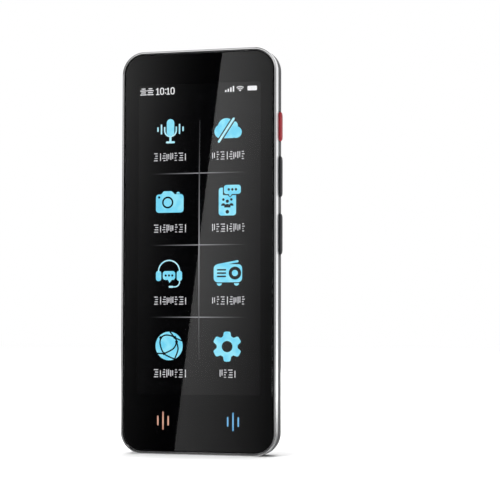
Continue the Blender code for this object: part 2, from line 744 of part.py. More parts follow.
def make_flash():
    up = HEIGHT - FLASH_DOWN
    slab("flash_led", CREAM_LENS, box(0, up, LED_WIDE, LED_TALL), ON_BOARD, ON_BOARD + LED_THICK)
    front = RECESS_FLOOR + GAP
    cover = pill(0, up, FLASH_WIDE, FLASH_TALL)
    window = slab("flash_window", CREAM_LENS, cover, front, DEPTH - LENS_SINK)
    stem = circle(0, up, PIPE_WIDE)
    join(window, slab("flash_pipe", None, stem, ON_BOARD + LED_THICK + GAP, front + LENS_EDGE))


def make_screw(name, x, z, seat):
    """A screw whose head stands on a seat and whose shank reaches into the frame's boss."""
    profile = (
        (SCREW_HEAD, seat + SCREW_HEAD_THICK),
        (SCREW_HEAD, seat),
        (SCREW_SHANK, seat),
        (SCREW_SHANK, PLATE_FRONT + BOSS_FLOOR + GAP),
    )
    turned(name, STEEL, x, z, profile)


def between(left, right, low, high, radius):
    """Outline of a rectangle by its four sides, with round corners."""
    return rounded((left + right) / 2, (low + high) / 2, right - left, high - low, radius)


def make_board():
    up = HEIGHT - SPEAKER_DOWN
    outline = between(BOARD_LEFT, BOARD_RIGHT, BOARD_LOW, BOARD_HIGH, BOARD_CORNER)
    lens = CAMERA_WIDE + 2 * GAP
    places = boss_places()
    corner = SPEAKER_CORNER + BOX_WALL + GAP
    holes = [
        rounded(0, up, BOX_WIDE + 2 * GAP, BOX_TALL + 2 * GAP, corner),
        box(0, HEIGHT - LENS_DOWN, lens, lens),
    ]
    holes += [circle(x, z, SCREW_HOLE) for x, z in places["board"] + places["speaker"]]
    slab("main_board", GREEN_BOARD, outline, BOARD_FRONT, BOARD_BACK, holes)
    left = CAMERA_WIDE / 2 + PROCESSOR_LAND
    right = BOARD_RIGHT - PROCESSOR_SIDE
    cover = between(left, right, PROCESSOR_LOW, PROCESSOR_LOW + PROCESSOR_TALL, SHIELD_CORNER)
    slab("processor_shield", STEEL, cover, ON_BOARD, ON_BOARD + SHIELD_THICK)
    cover = between(BOARD_LEFT + RADIO_SIDE, RADIO_RIGHT, RADIO_LOW, RADIO_HIGH, SHIELD_CORNER)
    slab("radio_shield", STEEL, cover, ON_BOARD, ON_BOARD + SHIELD_THICK)
    mic_wide, mic_tall = MIC_SIZE
    mic = box(MIC_OUT, BOARD_HIGH - mic_tall / 2 - GAP, mic_wide, mic_tall)
    slab("microphone_top", STEEL, mic, ON_BOARD, ON_BOARD + MIC_THICK)
    for number, (x, z) in enumerate(places["board"], 1):
        make_screw(f"board_screw_{number}", x, z, ON_BOARD)
    for number, (x, z) in enumerate(places["speaker"], 1):
        make_screw(f"speaker_screw_{number}", x, z, ON_BOARD + EAR_THICK + GAP)


def usb_depth():
    return INSIDE_FRONT + USB_TALL / 2


def make_lower_board():
    reach = WIDTH / 2 - SUB_BOARD_INSET
    plain = between(-reach, reach, SUB_BOARD_LOW, SUB_BOARD_HIGH, BOARD_CORNER)
    split = len(plain) // 4 * 3
    notch = USB_WIDE / 2 + GAP
    notch_top = USB_SINK + USB_LONG + GAP
    cutout = [
        (-notch, SUB_BOARD_LOW),
        (-notch, notch_top),
        (notch, notch_top),
        (notch, SUB_BOARD_LOW),
    ]
    outline = plain[:split] + cutout + plain[split:]
    places = boss_places()["sub_board"]
    holes = [circle(x, z, SCREW_HOLE) for x, z in places]
    slab("sub_board", GREEN_BOARD, outline, BOARD_FRONT, BOARD_BACK, holes)
    for number, (x, z) in enumerate(places, 1):
        make_screw(f"sub_board_screw_{number}", x, z, ON_BOARD)
    mic_wide, mic_tall = MIC_SIZE
    mic = box(MIC_OUT, SUB_BOARD_LOW + mic_tall / 2 + GAP, mic_wide, mic_tall)
    slab("microphone_bottom", STEEL, mic, ON_BOARD, ON_BOARD + MIC_THICK)
    depth = usb_depth()
    top = USB_SINK + USB_LONG
    outer = pill(0, depth, USB_WIDE, USB_TALL)
    inner = pill(0, depth, USB_WIDE, USB_TALL, USB_WALL)
    rings = [(outer, top), (outer, USB_SINK), (inner, USB_SINK), (inner, top - USB_BACK)]
    loft("usb_shell", STEEL, rings, upright)
    tongue = box(0, depth, TONGUE_WIDE, TONGUE_THICK)
    slab("usb_tongue", BLACK_PLASTIC, tongue, USB_SINK + USB_BACK, top - USB_BACK - GAP, plane=upright)
    left = -WIDTH / 2 + LINK_INSET
    link = between(left, left + LINK_WIDE, SUB_BOARD_HIGH - LINK_LAP, BOARD_LOW + LINK_LAP, 0)
    slab("board_flex", COPPER_FLEX, link, BOARD_FRONT - GAP - FLEX_THICK, BOARD_FRONT - GAP)


def make_battery():
    cell = between(BATTERY_LEFT, BATTERY_RIGHT, BATTERY_LOW, BATTERY_HIGH, BATTERY_CORNER)
    slab("battery", BATTERY_FILM, cell, INSIDE_FRONT, INSIDE_FRONT + BATTERY_THICK)
    middle = (BATTERY_LEFT + BATTERY_RIGHT) / 2
    guard = box(middle, BATTERY_HIGH + GAP + GUARD_TALL / 2, GUARD_WIDE, GUARD_TALL)
    guard_back = ON_BOARD + PLUG_THICK
    slab("battery_board", GREEN_BOARD, guard, guard_back - GUARD_THICK, guard_back)
    wide, tall = BATTERY_PLUG_SIZE
    up = BOARD_LOW + BATTERY_PLUG_UP
    plug = box(BATTERY_PLUG_OFFSET, up, wide, tall)
    slab("battery_connector", BLACK_PLASTIC, plug, ON_BOARD, guard_back)
    low = BATTERY_HIGH + GAP
    high = up + tall / 2
    lead = box(BATTERY_PLUG_OFFSET, (low + high) / 2, LEAD_WIDE, high - low)
    slab("battery_lead", COPPER_FLEX, lead, guard_back + GAP, guard_back + GAP + FLEX_THICK)


def tray_depth():
    return ON_BOARD + TRAY_RISE


def make_card_tray():
    depth = tray_depth()
    face = -WIDTH / 2 + TRAY_HEAD_SINK
    head_inside = -WIDTH / 2 + WALL
    tip = face + TRAY_HEAD_SINK + TRAY_LONG
    head = pill(depth, TRAY_UP, TRAY_HEAD_WIDE, TRAY_HEAD_LONG)
    tray = slab("sim_tray", GREY_SHELL, head, face, head_inside, plane=sideways)
    start = head_inside - TRAY_BITE
    plate = box((start + tip) / 2, TRAY_UP, tip - start, TRAY_WIDE)
    join(tray, slab("tray_plate", None, plate, depth - TRAY_THICK / 2, depth + TRAY_THICK / 2))
    roof_front = depth + TRAY_THICK / 2 + GAP
    roof_back = roof_front + SOCKET_ROOF
    rail = TRAY_WIDE / 2 + GAP
    edge = rail + SOCKET_RAIL
    staple = [
        (ON_BOARD, TRAY_UP - edge),
        (roof_back, TRAY_UP - edge),
        (roof_back, TRAY_UP + edge),
        (ON_BOARD, TRAY_UP + edge),
        (ON_BOARD, TRAY_UP + rail),
        (roof_front, TRAY_UP + rail),
        (roof_front, TRAY_UP - rail),
        (ON_BOARD, TRAY_UP - rail),
    ]
    slab("sim_socket", STEEL, staple, BOARD_LEFT, BOARD_LEFT + SOCKET_LONG, plane=sideways)


def keys():
    """Name, finish, distance below the top and length of each side key."""
    return (
        ("power", RED_KEY, POWER_KEY_DOWN, POWER_KEY_LONG),
        ("volume_up", DARK_KEY, VOLUME_UP_DOWN, VOLUME_KEY_LONG),
        ("volume_down", DARK_KEY, VOLUME_DOWN_DOWN, VOLUME_KEY_LONG),
    )


def key_depth():
    return RIM_BACK + KEY_FRONT_GAP + KEY_WIDE / 2


def make_keys():
    depth = key_depth()
    key_back = depth + KEY_WIDE / 2
    flange_depth = (INSIDE_FRONT + key_back) / 2
    face = WIDTH / 2 + KEY_PROUD
    cap_in = WIDTH / 2 - PLATE_INSET + GAP + KEY_TRAVEL
    web_middle = (FLANGE_IN + FLANGE_OUT) / 2
    for name, finish, down, long in keys():
        up = HEIGHT - down
        outline = pill(depth, up, KEY_WIDE, long)
        rings = [
            (pill(depth, up, KEY_WIDE, long, KEY_EDGE), face),
            (outline, face - KEY_EDGE),
            (outline, cap_in),
        ]
        key = loft(name + "_key", finish, rings, sideways)
        neck = box(flange_depth, up, key_back - INSIDE_FRONT - 2 * KEY_EDGE, long - KEY_WIDE)
        join(key, slab(name + "_neck", None, neck, web_middle, cap_in + GAP, plane=sideways))
        web = box(flange_depth, up, key_back - INSIDE_FRONT, long + 2 * FLANGE_LAP)
        join(key, slab(name + "_flange", None, web, FLANGE_IN, FLANGE_OUT, plane=sideways))
        stem = circle(flange_depth, up, PLUNGER_WIDE)
        join(key, slab(name + "_plunger", None, stem, PLUNGER_TIP, web_middle, plane=sideways))
        dome = box(flange_depth, up, SWITCH_WIDE, SWITCH_TALL)
        slab(name + "_switch", STEEL, dome, SWITCH_IN, SWITCH_OUT, plane=sideways)
    top = HEIGHT - POWER_KEY_DOWN + POWER_KEY_LONG / 2
    bottom = HEIGHT - VOLUME_DOWN_DOWN - VOLUME_KEY_LONG / 2
    strip = box(flange_depth, (top + bottom) / 2, key_back - INSIDE_FRONT, top - bottom)
    slab("key_flex", COPPER_FLEX, strip, KEY_FLEX_OUT - KEY_FLEX_THICK, KEY_FLEX_OUT, plane=sideways)
    angle = [
        (BRACKET_OUT, INSIDE_FRONT),
        (BRACKET_OUT, key_back),
        (BRACKET_IN, key_back),
        (BRACKET_IN, INSIDE_FRONT + BRACKET_THICK),
        (FOOT_IN, INSIDE_FRONT + BRACKET_THICK),
        (FOOT_IN, INSIDE_FRONT),
    ]
    slab("key_bracket", STEEL, angle, bottom - BRACKET_REACH, top + BRACKET_REACH, plane=upright)


def make_aerials():
    inset = WALL + GAP
    left = -WIDTH / 2 + CORNER + AERIAL_SIDE
    right = -USB_WIDE / 2 - AERIAL_LAND
    front = INSIDE_FRONT + GAP
    strip = between(left, right, front, front + AERIAL_WIDE, 0)
    high = HEIGHT - inset
    slab("wifi_antenna", COPPER_FLEX, strip, high - AERIAL_THICK, high, plane=upright)
    strip = between(left, right, ON_BOARD, ON_BOARD + AERIAL_WIDE, 0)
    slab("cellular_antenna", COPPER_FLEX, strip, inset, inset + AERIAL_THICK, plane=upright)


clear_scene()
make_glass()
make_frame()
make_display()
make_touch_marks()
make_shell()
make_panel()
make_speaker()
make_camera()
make_flash()
make_board()
make_lower_board()
make_battery()
make_card_tray()
make_keys()
make_aerials()
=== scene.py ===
"""Looks of a handheld touch translator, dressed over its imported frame."""

import math

import bmesh
import bpy
from mathutils import Euler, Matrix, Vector


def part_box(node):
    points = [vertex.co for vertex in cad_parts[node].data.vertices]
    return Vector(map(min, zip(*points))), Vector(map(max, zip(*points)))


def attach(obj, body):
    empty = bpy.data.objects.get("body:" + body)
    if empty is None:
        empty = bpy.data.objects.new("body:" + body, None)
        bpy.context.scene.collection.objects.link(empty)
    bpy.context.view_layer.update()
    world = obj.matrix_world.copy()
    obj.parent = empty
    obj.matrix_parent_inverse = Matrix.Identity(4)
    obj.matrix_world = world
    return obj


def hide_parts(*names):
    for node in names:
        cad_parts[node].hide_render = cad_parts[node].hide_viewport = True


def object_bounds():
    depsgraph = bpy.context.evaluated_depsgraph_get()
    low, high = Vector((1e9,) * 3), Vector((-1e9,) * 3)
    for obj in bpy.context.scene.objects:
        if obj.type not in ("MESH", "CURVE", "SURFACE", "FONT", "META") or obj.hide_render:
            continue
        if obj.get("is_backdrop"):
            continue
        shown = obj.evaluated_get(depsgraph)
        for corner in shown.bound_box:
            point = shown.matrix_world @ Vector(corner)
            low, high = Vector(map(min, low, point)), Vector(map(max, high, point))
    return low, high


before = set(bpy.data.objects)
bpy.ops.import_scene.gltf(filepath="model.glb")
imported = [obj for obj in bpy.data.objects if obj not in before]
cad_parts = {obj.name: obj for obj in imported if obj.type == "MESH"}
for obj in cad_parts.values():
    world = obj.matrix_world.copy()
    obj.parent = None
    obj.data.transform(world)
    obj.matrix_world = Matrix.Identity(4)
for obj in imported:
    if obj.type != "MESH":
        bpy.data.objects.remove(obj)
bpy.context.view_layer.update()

# The studio: a white sweep under three soft lamps, with the lens low and to the right.
# It is set out in metres. The object, and what the card shows on its glass, is measured
# in millimetres, and MM makes metres of them.
MM = 0.001
BLACK = (0, 0, 0)
WHITE = (1, 1, 1)
LENS_AT = Vector((0.162829, -0.530119, 0.044660))
LENS_TURN = (92.794, -0.1248, 15.3312)
LENS_LONG = 113.2
FILM_WIDE = 36
AMBIENT = 0.2
SWEEP = (0.84, 0.84, 0.84)
SWEEP_REACH = 3

camera = bpy.data.objects.new("camera", bpy.data.cameras.new("camera"))
camera.data.lens = LENS_LONG
camera.data.sensor_width = FILM_WIDE
camera.data.clip_start = 0.01
camera.location = LENS_AT
camera.rotation_euler = Euler([math.radians(turn) for turn in LENS_TURN])
scene = bpy.context.scene
scene.collection.objects.link(camera)
scene.camera = camera
scene.view_settings.view_transform = "Standard"


class Wire:
    """A shader socket that can stand in a sum: 1 - wire adds a Math node."""

    def __init__(self, socket):
        self.socket = socket

    def node(self, kind, settings, sockets, output=0):
        """A node of that type in the same tree, set first and then joined up."""
        tree = self.socket.id_data
        made = tree.nodes.new(kind)
        for name, value in settings.items():
            setattr(made, name, value)
        for name, value in sockets.items():
            socket = made.inputs[name]
            if isinstance(value, Wire):
                tree.links.new(value.socket, socket)
            else:
                socket.default_value = (*value, 1) if socket.type == "RGBA" else value
        return Wire(made.outputs[output]) if made.outputs else None

    def maths(self, operation, first, second):
        return self.node("ShaderNodeMath", {"operation": operation}, {0: first, 1: second})

    def __add__(self, other):
        return self.maths("ADD", self, other)

    def __sub__(self, other):
        return self.maths("SUBTRACT", self, other)

    def __rsub__(self, other):
        return self.maths("SUBTRACT", other, self)

    def __mul__(self, other):
        return self.maths("MULTIPLY", self, other)

    def __truediv__(self, other):
        return self.maths("DIVIDE", self, other)

    def __rtruediv__(self, other):
        return self.maths("DIVIDE", other, self)

    def __pow__(self, other):
        return self.maths("POWER", self, other)

    def __gt__(self, other):
        return self.maths("GREATER_THAN", self, other)

    def __lt__(self, other):
        return self.maths("LESS_THAN", self, other)

    __radd__ = __add__
    __rmul__ = __mul__

    def __abs__(self):
        return self.node("ShaderNodeMath", {"operation": "ABSOLUTE"}, {0: self})

    def along(self, axis):
        """One of a place's three measures, in millimetres."""
        return self.node("ShaderNodeSeparateXYZ", {}, {0: self}, axis) / MM

    def share(self, low, high):
        """How far a value is from low to high, held to 0 and 1."""
        return self.node("ShaderNodeMapRange", {}, {"Value": self, 1: low, 2: high})

    def mix(self, low, high):
        """A colour between two, by this share."""
        return self.node("ShaderNodeMix", {"data_type": "RGBA"}, {0: self, 6: low, 7: high}, 2)

    def grain(self, size, detail=2.0):
        """Soft cloudy grain about that many millimetres across."""
        sockets = {"Vector": self, "Scale": 1 / (size * MM), "Detail": detail}
        return self.node("ShaderNodeTexNoise", {}, sockets)

    def cells(self, scale, feature="F1"):
        """Round cells, dark in their middles."""
        sockets = {"Vector": self, "Scale": scale}
        return self.node("ShaderNodeTexVoronoi", {"feature": feature}, sockets)

    def stripes(self, way, scale):
        """Straight soft stripes that follow each other along X or Z."""
        sockets = {"Vector": self, "Scale": scale}
        return self.node("ShaderNodeTexWave", {"bands_direction": way}, sockets)

    def ripples(self, middle, scale):
        """Round soft stripes about a place given in metres."""
        away = self.node("ShaderNodeVectorMath", {"operation": "SUBTRACT"}, {0: self, 1: middle})
        settings = {"wave_type": "RINGS", "rings_direction": "SPHERICAL"}
        return self.node("ShaderNodeTexWave", settings, {"Vector": away, "Scale": scale})

    def lamp(self, low, high, strength=1.0):
        """Bare light of a colour between two, by this share."""
        return self.node(
            "ShaderNodeEmission", {}, {"Color": self.mix(low, high), "Strength": strength}
        )

    def coat(self, colour, roughness, relief=None, metal=0.0, gleam=0.5, lacquer=0.0, glow=None):
        """Closes the tree with a surface; relief is a height, and glow a light of its own."""
        sockets = {"Base Color": colour, "Roughness": roughness, "Metallic": metal}
        sockets |= {"Specular IOR Level": gleam, "Coat Weight": lacquer}
        if glow is not None:
            sockets |= {"Emission Color": glow, "Emission Strength": 1.0}
        if relief is not None:
            height = {"Height": relief, "Distance": MM}
            sockets["Normal"] = self.node("ShaderNodeBump", {}, height)
        self.shown(self.node("ShaderNodeBsdfPrincipled", {}, sockets))

    def shown(self, shader, kind="ShaderNodeOutputMaterial"):
        """Closes the tree with a shader."""
        self.node(kind, {}, {"Surface": shader})


def finish(name):
    """A new material, with the place on the piece that its pattern follows."""
    made = bpy.data.materials.new(name)
    made.use_nodes = True
    made.node_tree.nodes.clear()
    start = made.node_tree.nodes.new("ShaderNodeTexCoord")
    return made, Wire(start.outputs["Object"])


def standing(name, corners, material):
    """A flat sheet of the studio."""
    data = bpy.data.meshes.new(name)
    data.from_pydata(corners, [], [range(len(corners))])
    data.materials.append(material)
    sheet = bpy.data.objects.new(name, data)
    scene.collection.objects.link(sheet)
    sheet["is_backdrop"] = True
    return sheet


def seen_directly(wire):
    """1 for what the lens sees, straight on or in metal and glass, and 0 for lit rays."""
    rays = [
        wire.node("ShaderNodeLightPath", {}, {}, f"Is {kind} Ray")
        for kind in ("Camera", "Glossy", "Transmission")
    ]
    return (rays[0] + rays[1] + rays[2]).share(0, 1)


sweep, place = finish("sweep")
narrowed = place.node("ShaderNodeVectorMath", {"operation": "MULTIPLY"}, {0: place, 1: (0.25, 1, 1)})
away = place.node("ShaderNodeVectorMath", {"operation": "LENGTH"}, {0: narrowed}, "Value")
# The floor's glow grows outwards from the object's foot and is held back next to it, so the floor round
# the foot is painted darker than further out. The shadow that falls on it is real.
glow_held_back_near_foot = away.share(0.004, 0.03) * 0.24 + away.share(0.08, 0.4) * 0.6
place.coat(SWEEP, 0.9, gleam=0.0, glow=(seen_directly(place) * glow_held_back_near_foot).mix(BLACK, WHITE))
quarters = ((-1, -1), (1, -1), (1, 1), (-1, 1))
standing("floor", [(x * SWEEP_REACH, y * SWEEP_REACH, 0) for x, y in quarters], sweep)

world = bpy.data.worlds.new("studio")
scene.world = world
world.use_nodes = True
world.node_tree.nodes.clear()
sky = Wire(world.node_tree.nodes.new("ShaderNodeBackground").outputs[0])
sky.socket.node.inputs["Strength"].default_value = AMBIENT
white = sky.node("ShaderNodeBackground", {}, {"Color": WHITE, "Strength": 1.0})
both = sky.node("ShaderNodeMixShader", {}, {0: seen_directly(sky), 1: sky, 2: white})
both.shown(both, "ShaderNodeOutputWorld")

for name, at, aim, wide, power in (
    ("key_light", (-0.35, -0.85, 0.85), (0, 0, 0.07), 0.6, 8.0),
    ("back_light", (-0.1, 0.95, 0.5), (0, 0, 0.07), 0.6, 8.0),
    ("top_light", (0, 0, 1.1), (0, 0, 0), 0.9, 11.0),
):
    lamp = bpy.data.lights.new(name, "AREA")
    lamp.size = wide
    lamp.energy = power
    stand = bpy.data.objects.new(name, lamp)
    stand.location = at
    stand.rotation_euler = (Vector(aim) - Vector(at)).to_track_quat("-Z", "Y").to_euler()
    stand.visible_glossy = False
    scene.collection.objects.link(stand)

# The card stands in front, met by mirrored rays alone. It is drawn at the glass's own
# size and scaled out from the mirrored lens, so a place on it is the place on the glass
# where it shows: pale right of a slanting edge, black left of it, greying to the side.
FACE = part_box("cover_glass")[0].y
CARD_AT = -0.45
CARD_MARGIN = 40.0
CARD_GLOW = 1.95
CARD_GAP = 0.0004
EDGE_FOOT = -8.44
EDGE_LEAN = 0.1219
EDGE_SOFT = 0.25
GLASS_SIDE = 27.5
GLASS_LOW = 0.75
GLASS_TOP = 141.25
FOOT_GREY = 0.14
TOP_GREY = 0.8
mirrored = Vector((LENS_AT.x, 2 * FACE - LENS_AT.y, LENS_AT.z))
spread = (mirrored.y - CARD_AT) / (mirrored.y - FACE)


def mirrored_light(across, up):
    """The card's light at a place on the glass; past the glass it is grey for the rim."""
    edge = up * EDGE_LEAN + EDGE_FOOT
    right_of_edge = (across - edge).share(0, EDGE_SOFT)
    fade = ((across - edge) / (GLASS_SIDE - edge)).share(0, 1)
    rise = 0.44 + up.share(15, 50) * 0.2 + up.share(50, 120) * 0.14
    dimming = 0.9 - 0.32 * up.share(52, 120)
    bright = (1 - dimming * fade**1.1) * rise
    dusk = ((edge - across) / (edge + GLASS_SIDE)).share(0, 1)
    dim = dusk**2.3 * (up.share(0, 130) ** 2 * 0.42 + 0.055)
    face = (abs(across) < GLASS_SIDE) * (up > GLASS_LOW) * (up < GLASS_TOP)
    side = 0.3 + 0.35 * (across < 0)
    border = FOOT_GREY + (side - FOOT_GREY) * up.share(2, 12)
    border = border + (TOP_GREY - border) * up.share(136, 141.5)
    within = right_of_edge * bright + (1 - right_of_edge) * dim
    return (face * within + (1 - face) * border / CARD_GLOW).lamp(BLACK, WHITE, CARD_GLOW)


def reflector(name, corners, material):
    """A sheet of the studio that mirrored rays alone meet."""
    sheet = standing(name, corners, material)
    sheet.visible_camera = False
    sheet.visible_diffuse = False
    sheet.visible_shadow = False
    sheet.visible_transmission = False
    return sheet


card, place = finish("card")
place.shown(mirrored_light(place.along(0), place.along(2)))
foot = mirrored.z * (1 - 1 / spread) / MM
reach = GLASS_SIDE + CARD_MARGIN
top = GLASS_TOP + CARD_MARGIN
sides = [(-reach, foot), (reach, foot), (reach, top), (-reach, top)]
upright_card = reflector("card", [(x * MM, 0, z * MM) for x, z in sides], card)
upright_card.scale = (spread, 1, spread)
upright_card.location = (mirrored.x * (1 - spread), CARD_AT, mirrored.z * (1 - spread))

# The glass's foot mirrors the floor in front of it, so the card goes on there as a sheet
# lying flat. It is drawn through the mirrored lens as well, and joins the upright one.
flat_card, place = finish("flat_card")
nearer = (mirrored.y - FACE) / MM / (mirrored.y / MM - place.along(1))
across = mirrored.x / MM + nearer * (place.along(0) - mirrored.x / MM)
up = mirrored.z / MM - nearer * (mirrored.z / MM)
place.shown(mirrored_light(across, up))
corners = []
near_glass = FACE - CARD_GAP
for side, depth in ((-1, CARD_AT), (1, CARD_AT), (1, near_glass), (-1, near_glass)):
    grown = (mirrored.y - depth) / (mirrored.y - FACE)
    corners.append((mirrored.x + grown * (side * reach * MM - mirrored.x), depth, 2e-5))
reflector("flat_card", corners, flat_card)

# Black flags beside and above the card, and a grey sheet behind, keep the glass's rolled
# edge and the foot of the frame dark. A graded sheet at either side shades the bare metal.
FLAG_AT = -0.46
RIGHT_FLAG = 0.13
LEFT_FLAG = 0.21
FLAG_END = (0.5, -0.12)
WALL_TALL = 0.5


def glowing(name, low, high, strength=1.0):
    """A finish for a sheet that shines evenly, in a broad soft grain."""
    made, place = finish(name)
    place.shown(place.grain(60.0).lamp((low,) * 3, (high,) * 3, strength))
    return made


def wall(name, near, far, material):
    """A reflector standing between two places on the floor."""
    corners = [(*near, 0), (*far, 0), (*far, WALL_TALL), (*near, WALL_TALL)]
    reflector(name, corners, material)


flag = glowing("flag", 0.03, 0.05)
wall("right_flag", (RIGHT_FLAG, FLAG_AT), FLAG_END, flag)
wall("left_flag", (-LEFT_FLAG, FLAG_AT), (-FLAG_END[0], FLAG_END[1]), flag)
corners = [(-0.4, FLAG_AT, 0.29), (0.25, FLAG_AT, 0.29), (0.25, 0, 0.75), (-0.4, 0, 0.75)]
reflector("top_flag", corners, flag)
for name, side, near in (("right_floor_flag", 1, RIGHT_FLAG), ("left_floor_flag", -1, LEFT_FLAG)):
    flat = [(0.03, -0.004), (0.03, FLAG_AT), (near, FLAG_AT), FLAG_END, (0.5, -0.004)]
    reflector(name, [(side * x, y, 1e-5) for x, y in flat], flag)
side_sheet, place = finish("side_sheet")
rise = (place.along(2) + 30 * place.grain(60.0)).share(-60, 330)
place.shown(rise.lamp((0.2,) * 3, (0.66,) * 3))
for name, side in (("right_sheet", 1), ("left_sheet", -1)):
    wall(name, (side * 0.5, -0.12), (side * 0.55, 0.16), side_sheet)
flat = [(-0.03, 0.006, 2e-5), (0.07, 0.0, 2e-5), (0.32, 0.25, 2e-5), (-0.12, 0.25, 2e-5)]
reflector("grey_sheet", flat, glowing("grey_sheet", 0.2, 0.25))

# The middle frame: one aluminium part, milled, bead blasted and anodised silver.
# Its rim holds the glass, its plate carries the display in front and the boards behind,
# and eight posts on the plate take the screws.
CORNER = 8.0
CORNER_STEPS = 14
RIM_WALL = 2.6
RIM_LAND = 0.66
RIM_SINK = 0.35
RIM_ROUND = 0.22
RIM_BEVEL = 0.05
RIM_BACK = 3.6
POLISHED_TO = (0.55, 0.7)
SEAT = 1.4
PLATE_FRONT = 4.0
PLATE_BACK = 4.8
PLATE_INSET = 2.0
POST_WIDE = 3.4
POST_RISE = 0.9
BORE_WIDE = 1.6
LEAD_DROP = 0.8
LEAD_SLOT = 1.0
LEAD_CLEAR = 0.3


def facing(u, v, w):
    """Outline in x and z, built up through the depth from the glass face."""
    return Vector((u * MM, w * MM + FACE, v * MM))


def sideways(u, v, w):
    """Outline in depth and z, built up across the width."""
    return Vector((w * MM, u * MM + FACE, v * MM))


def upright(u, v, w):
    """Outline in x and depth, built up along the height."""
    return Vector((u * MM, v * MM + FACE, w * MM))


def sides_of(node):
    """A node's lowest and highest x, depth and z, in millimetres."""
    low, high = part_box(node)
    return [
        (low.x / MM, high.x / MM),
        ((low.y - FACE) / MM, (high.y - FACE) / MM),
        (low.z / MM, high.z / MM),
    ]


def middle_of(node):
    """A node's middle x, depth and z, in millimetres."""
    return [sum(side) / 2 for side in sides_of(node)]


SHELL = sides_of("rear_shell")
WIDE = SHELL[0][1] - SHELL[0][0]
HIGH = SHELL[2][1] - SHELL[2][0]
BACK = SHELL[1][1]
FOUR_CORNERS = ((1, 1), (-1, 1), (-1, -1), (1, -1))


def arc(u, v, reach, start, end, steps):
    """Places along an arc, its ends in quarter turns; reach is one radius or two."""
    ru, rv = reach if isinstance(reach, tuple) else (reach, reach)
    turns = [math.pi / 2 * (start + (end - start) * step / steps) for step in range(steps + 1)]
    return [(u + ru * math.cos(turn), v + rv * math.sin(turn)) for turn in turns]


def rounded(u, v, wide, tall, radius, steps=8):
    """Outline of a rectangle about (u, v) with round corners, anticlockwise."""
    radius = min(radius, wide / 2 - 1e-4, tall / 2 - 1e-4)
    points = []
    for quarter, (side, end) in enumerate(FOUR_CORNERS):
        at = (u + side * (wide / 2 - radius), v + end * (tall / 2 - radius))
        points += arc(*at, radius, quarter, quarter + 1, steps)
    return points


def pill(u, v, wide, tall, inset=0.0, steps=8):
    """Outline of a round-ended bar about (u, v), drawn in all round."""
    wide, tall = wide - 2 * inset, tall - 2 * inset
    return rounded(u, v, wide, tall, min(wide, tall) / 2, steps)


def box(u, v, wide, tall):
    """Outline of a sharp rectangle about (u, v)."""
    return [(u + side * wide / 2, v + end * tall / 2) for side, end in FOUR_CORNERS]


def circle(u, v, wide, sides=48):
    """Outline of a circle of that width about (u, v)."""
    return arc(u, v, wide / 2, 0, 4, sides)[:-1]


def casing(inset, end_inset):
    """The casing's plan, drawn in at sides and ends about fixed corner centres."""
    points = []
    for quarter, (side, end) in enumerate(FOUR_CORNERS):
        at = (side * (WIDE / 2 - CORNER), HIGH / 2 + end * (HIGH / 2 - CORNER))
        reach = (CORNER - inset, CORNER - end_inset)
        points += arc(*at, reach, quarter, quarter + 1, CORNER_STEPS)
    return points


def loft(mesh, rings, plane=facing, closed=False):
    """Skins (outline, level) rings of equal count; closed joins the last to the first."""
    loops = [[mesh.verts.new(plane(u, v, level)) for u, v in outline] for outline, level in rings]
    pairs = list(zip(loops, loops[1:]))
    if closed:
        pairs.append((loops[-1], loops[0]))
    for near, far in pairs:
        for this in range(len(near)):
            after = (this + 1) % len(near)
            mesh.faces.new((near[this], near[after], far[after], far[this]))
    if not closed:
        mesh.faces.new(loops[0])
        mesh.faces.new(loops[-1])


def encircle(mesh, profile, closed=False):
    """Carries an (inset, depth) profile round the casing's plan."""
    loft(mesh, [(casing(inset, inset), depth) for inset, depth in profile], closed=closed)


def slab(mesh, outline, low, high, holes=(), plane=facing):
    """A flat plate between two levels, with holes right through."""
    rim = []
    for loop in (outline, *holes):
        points = [mesh.verts.new(plane(u, v, low)) for u, v in loop]
        rim += [mesh.edges.new(pair) for pair in zip(points, points[1:] + points[:1])]
    made = bmesh.ops.triangle_fill(mesh, use_beauty=True, edges=rim)["geom"]
    flat = [face for face in made if isinstance(face, bmesh.types.BMFace)]
    rise = plane(0, 0, high) - plane(0, 0, low)
    corners = {vert for edge in rim for vert in edge.verts}
    raised = {vert: mesh.verts.new(vert.co + rise) for vert in corners}
    for face in flat:
        mesh.faces.new([raised[vert] for vert in reversed(face.verts)])
    for one in rim:
        start, end = one.verts
        mesh.faces.new((start, end, raised[end], raised[start]))


def post(mesh, u, v, wide, bore, low, high):
    """A round tube standing between two levels."""
    rings = [(circle(u, v, wide, 24), low), (circle(u, v, wide, 24), high)]
    rings += [(circle(u, v, bore, 24), high), (circle(u, v, bore, 24), low)]
    loft(mesh, rings, closed=True)


def piece(name, mesh, material, stands_for=(), body="casing", sharp=32):
    """A finished piece of the object, riding on its body."""
    bmesh.ops.recalc_face_normals(mesh, faces=mesh.faces[:])
    data = bpy.data.meshes.new(name)
    mesh.to_mesh(data)
    mesh.free()
    data.shade_smooth()
    data.set_sharp_from_angle(angle=math.radians(sharp))
    data.materials.append(material)
    made = bpy.data.objects.new(name, data)
    scene.collection.objects.link(made)
    made.modifiers.new("even_faces", "WEIGHTED_NORMAL").keep_sharp = True
    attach(made, body)
    if stands_for:
        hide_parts(*stands_for)


silver, place = finish("silver_anodised")
blasted = place.grain(0.06, 3.0)
drift = place.grain(9.0)
polished = 1 - place.along(1).share(*[FACE / MM + depth for depth in POLISHED_TO])
place.coat(
    drift.mix((0.82, 0.82, 0.83), (0.88, 0.88, 0.89)),
    0.3 + 0.05 * blasted - 0.24 * polished,
    blasted * 0.002,
    metal=1.0,
)

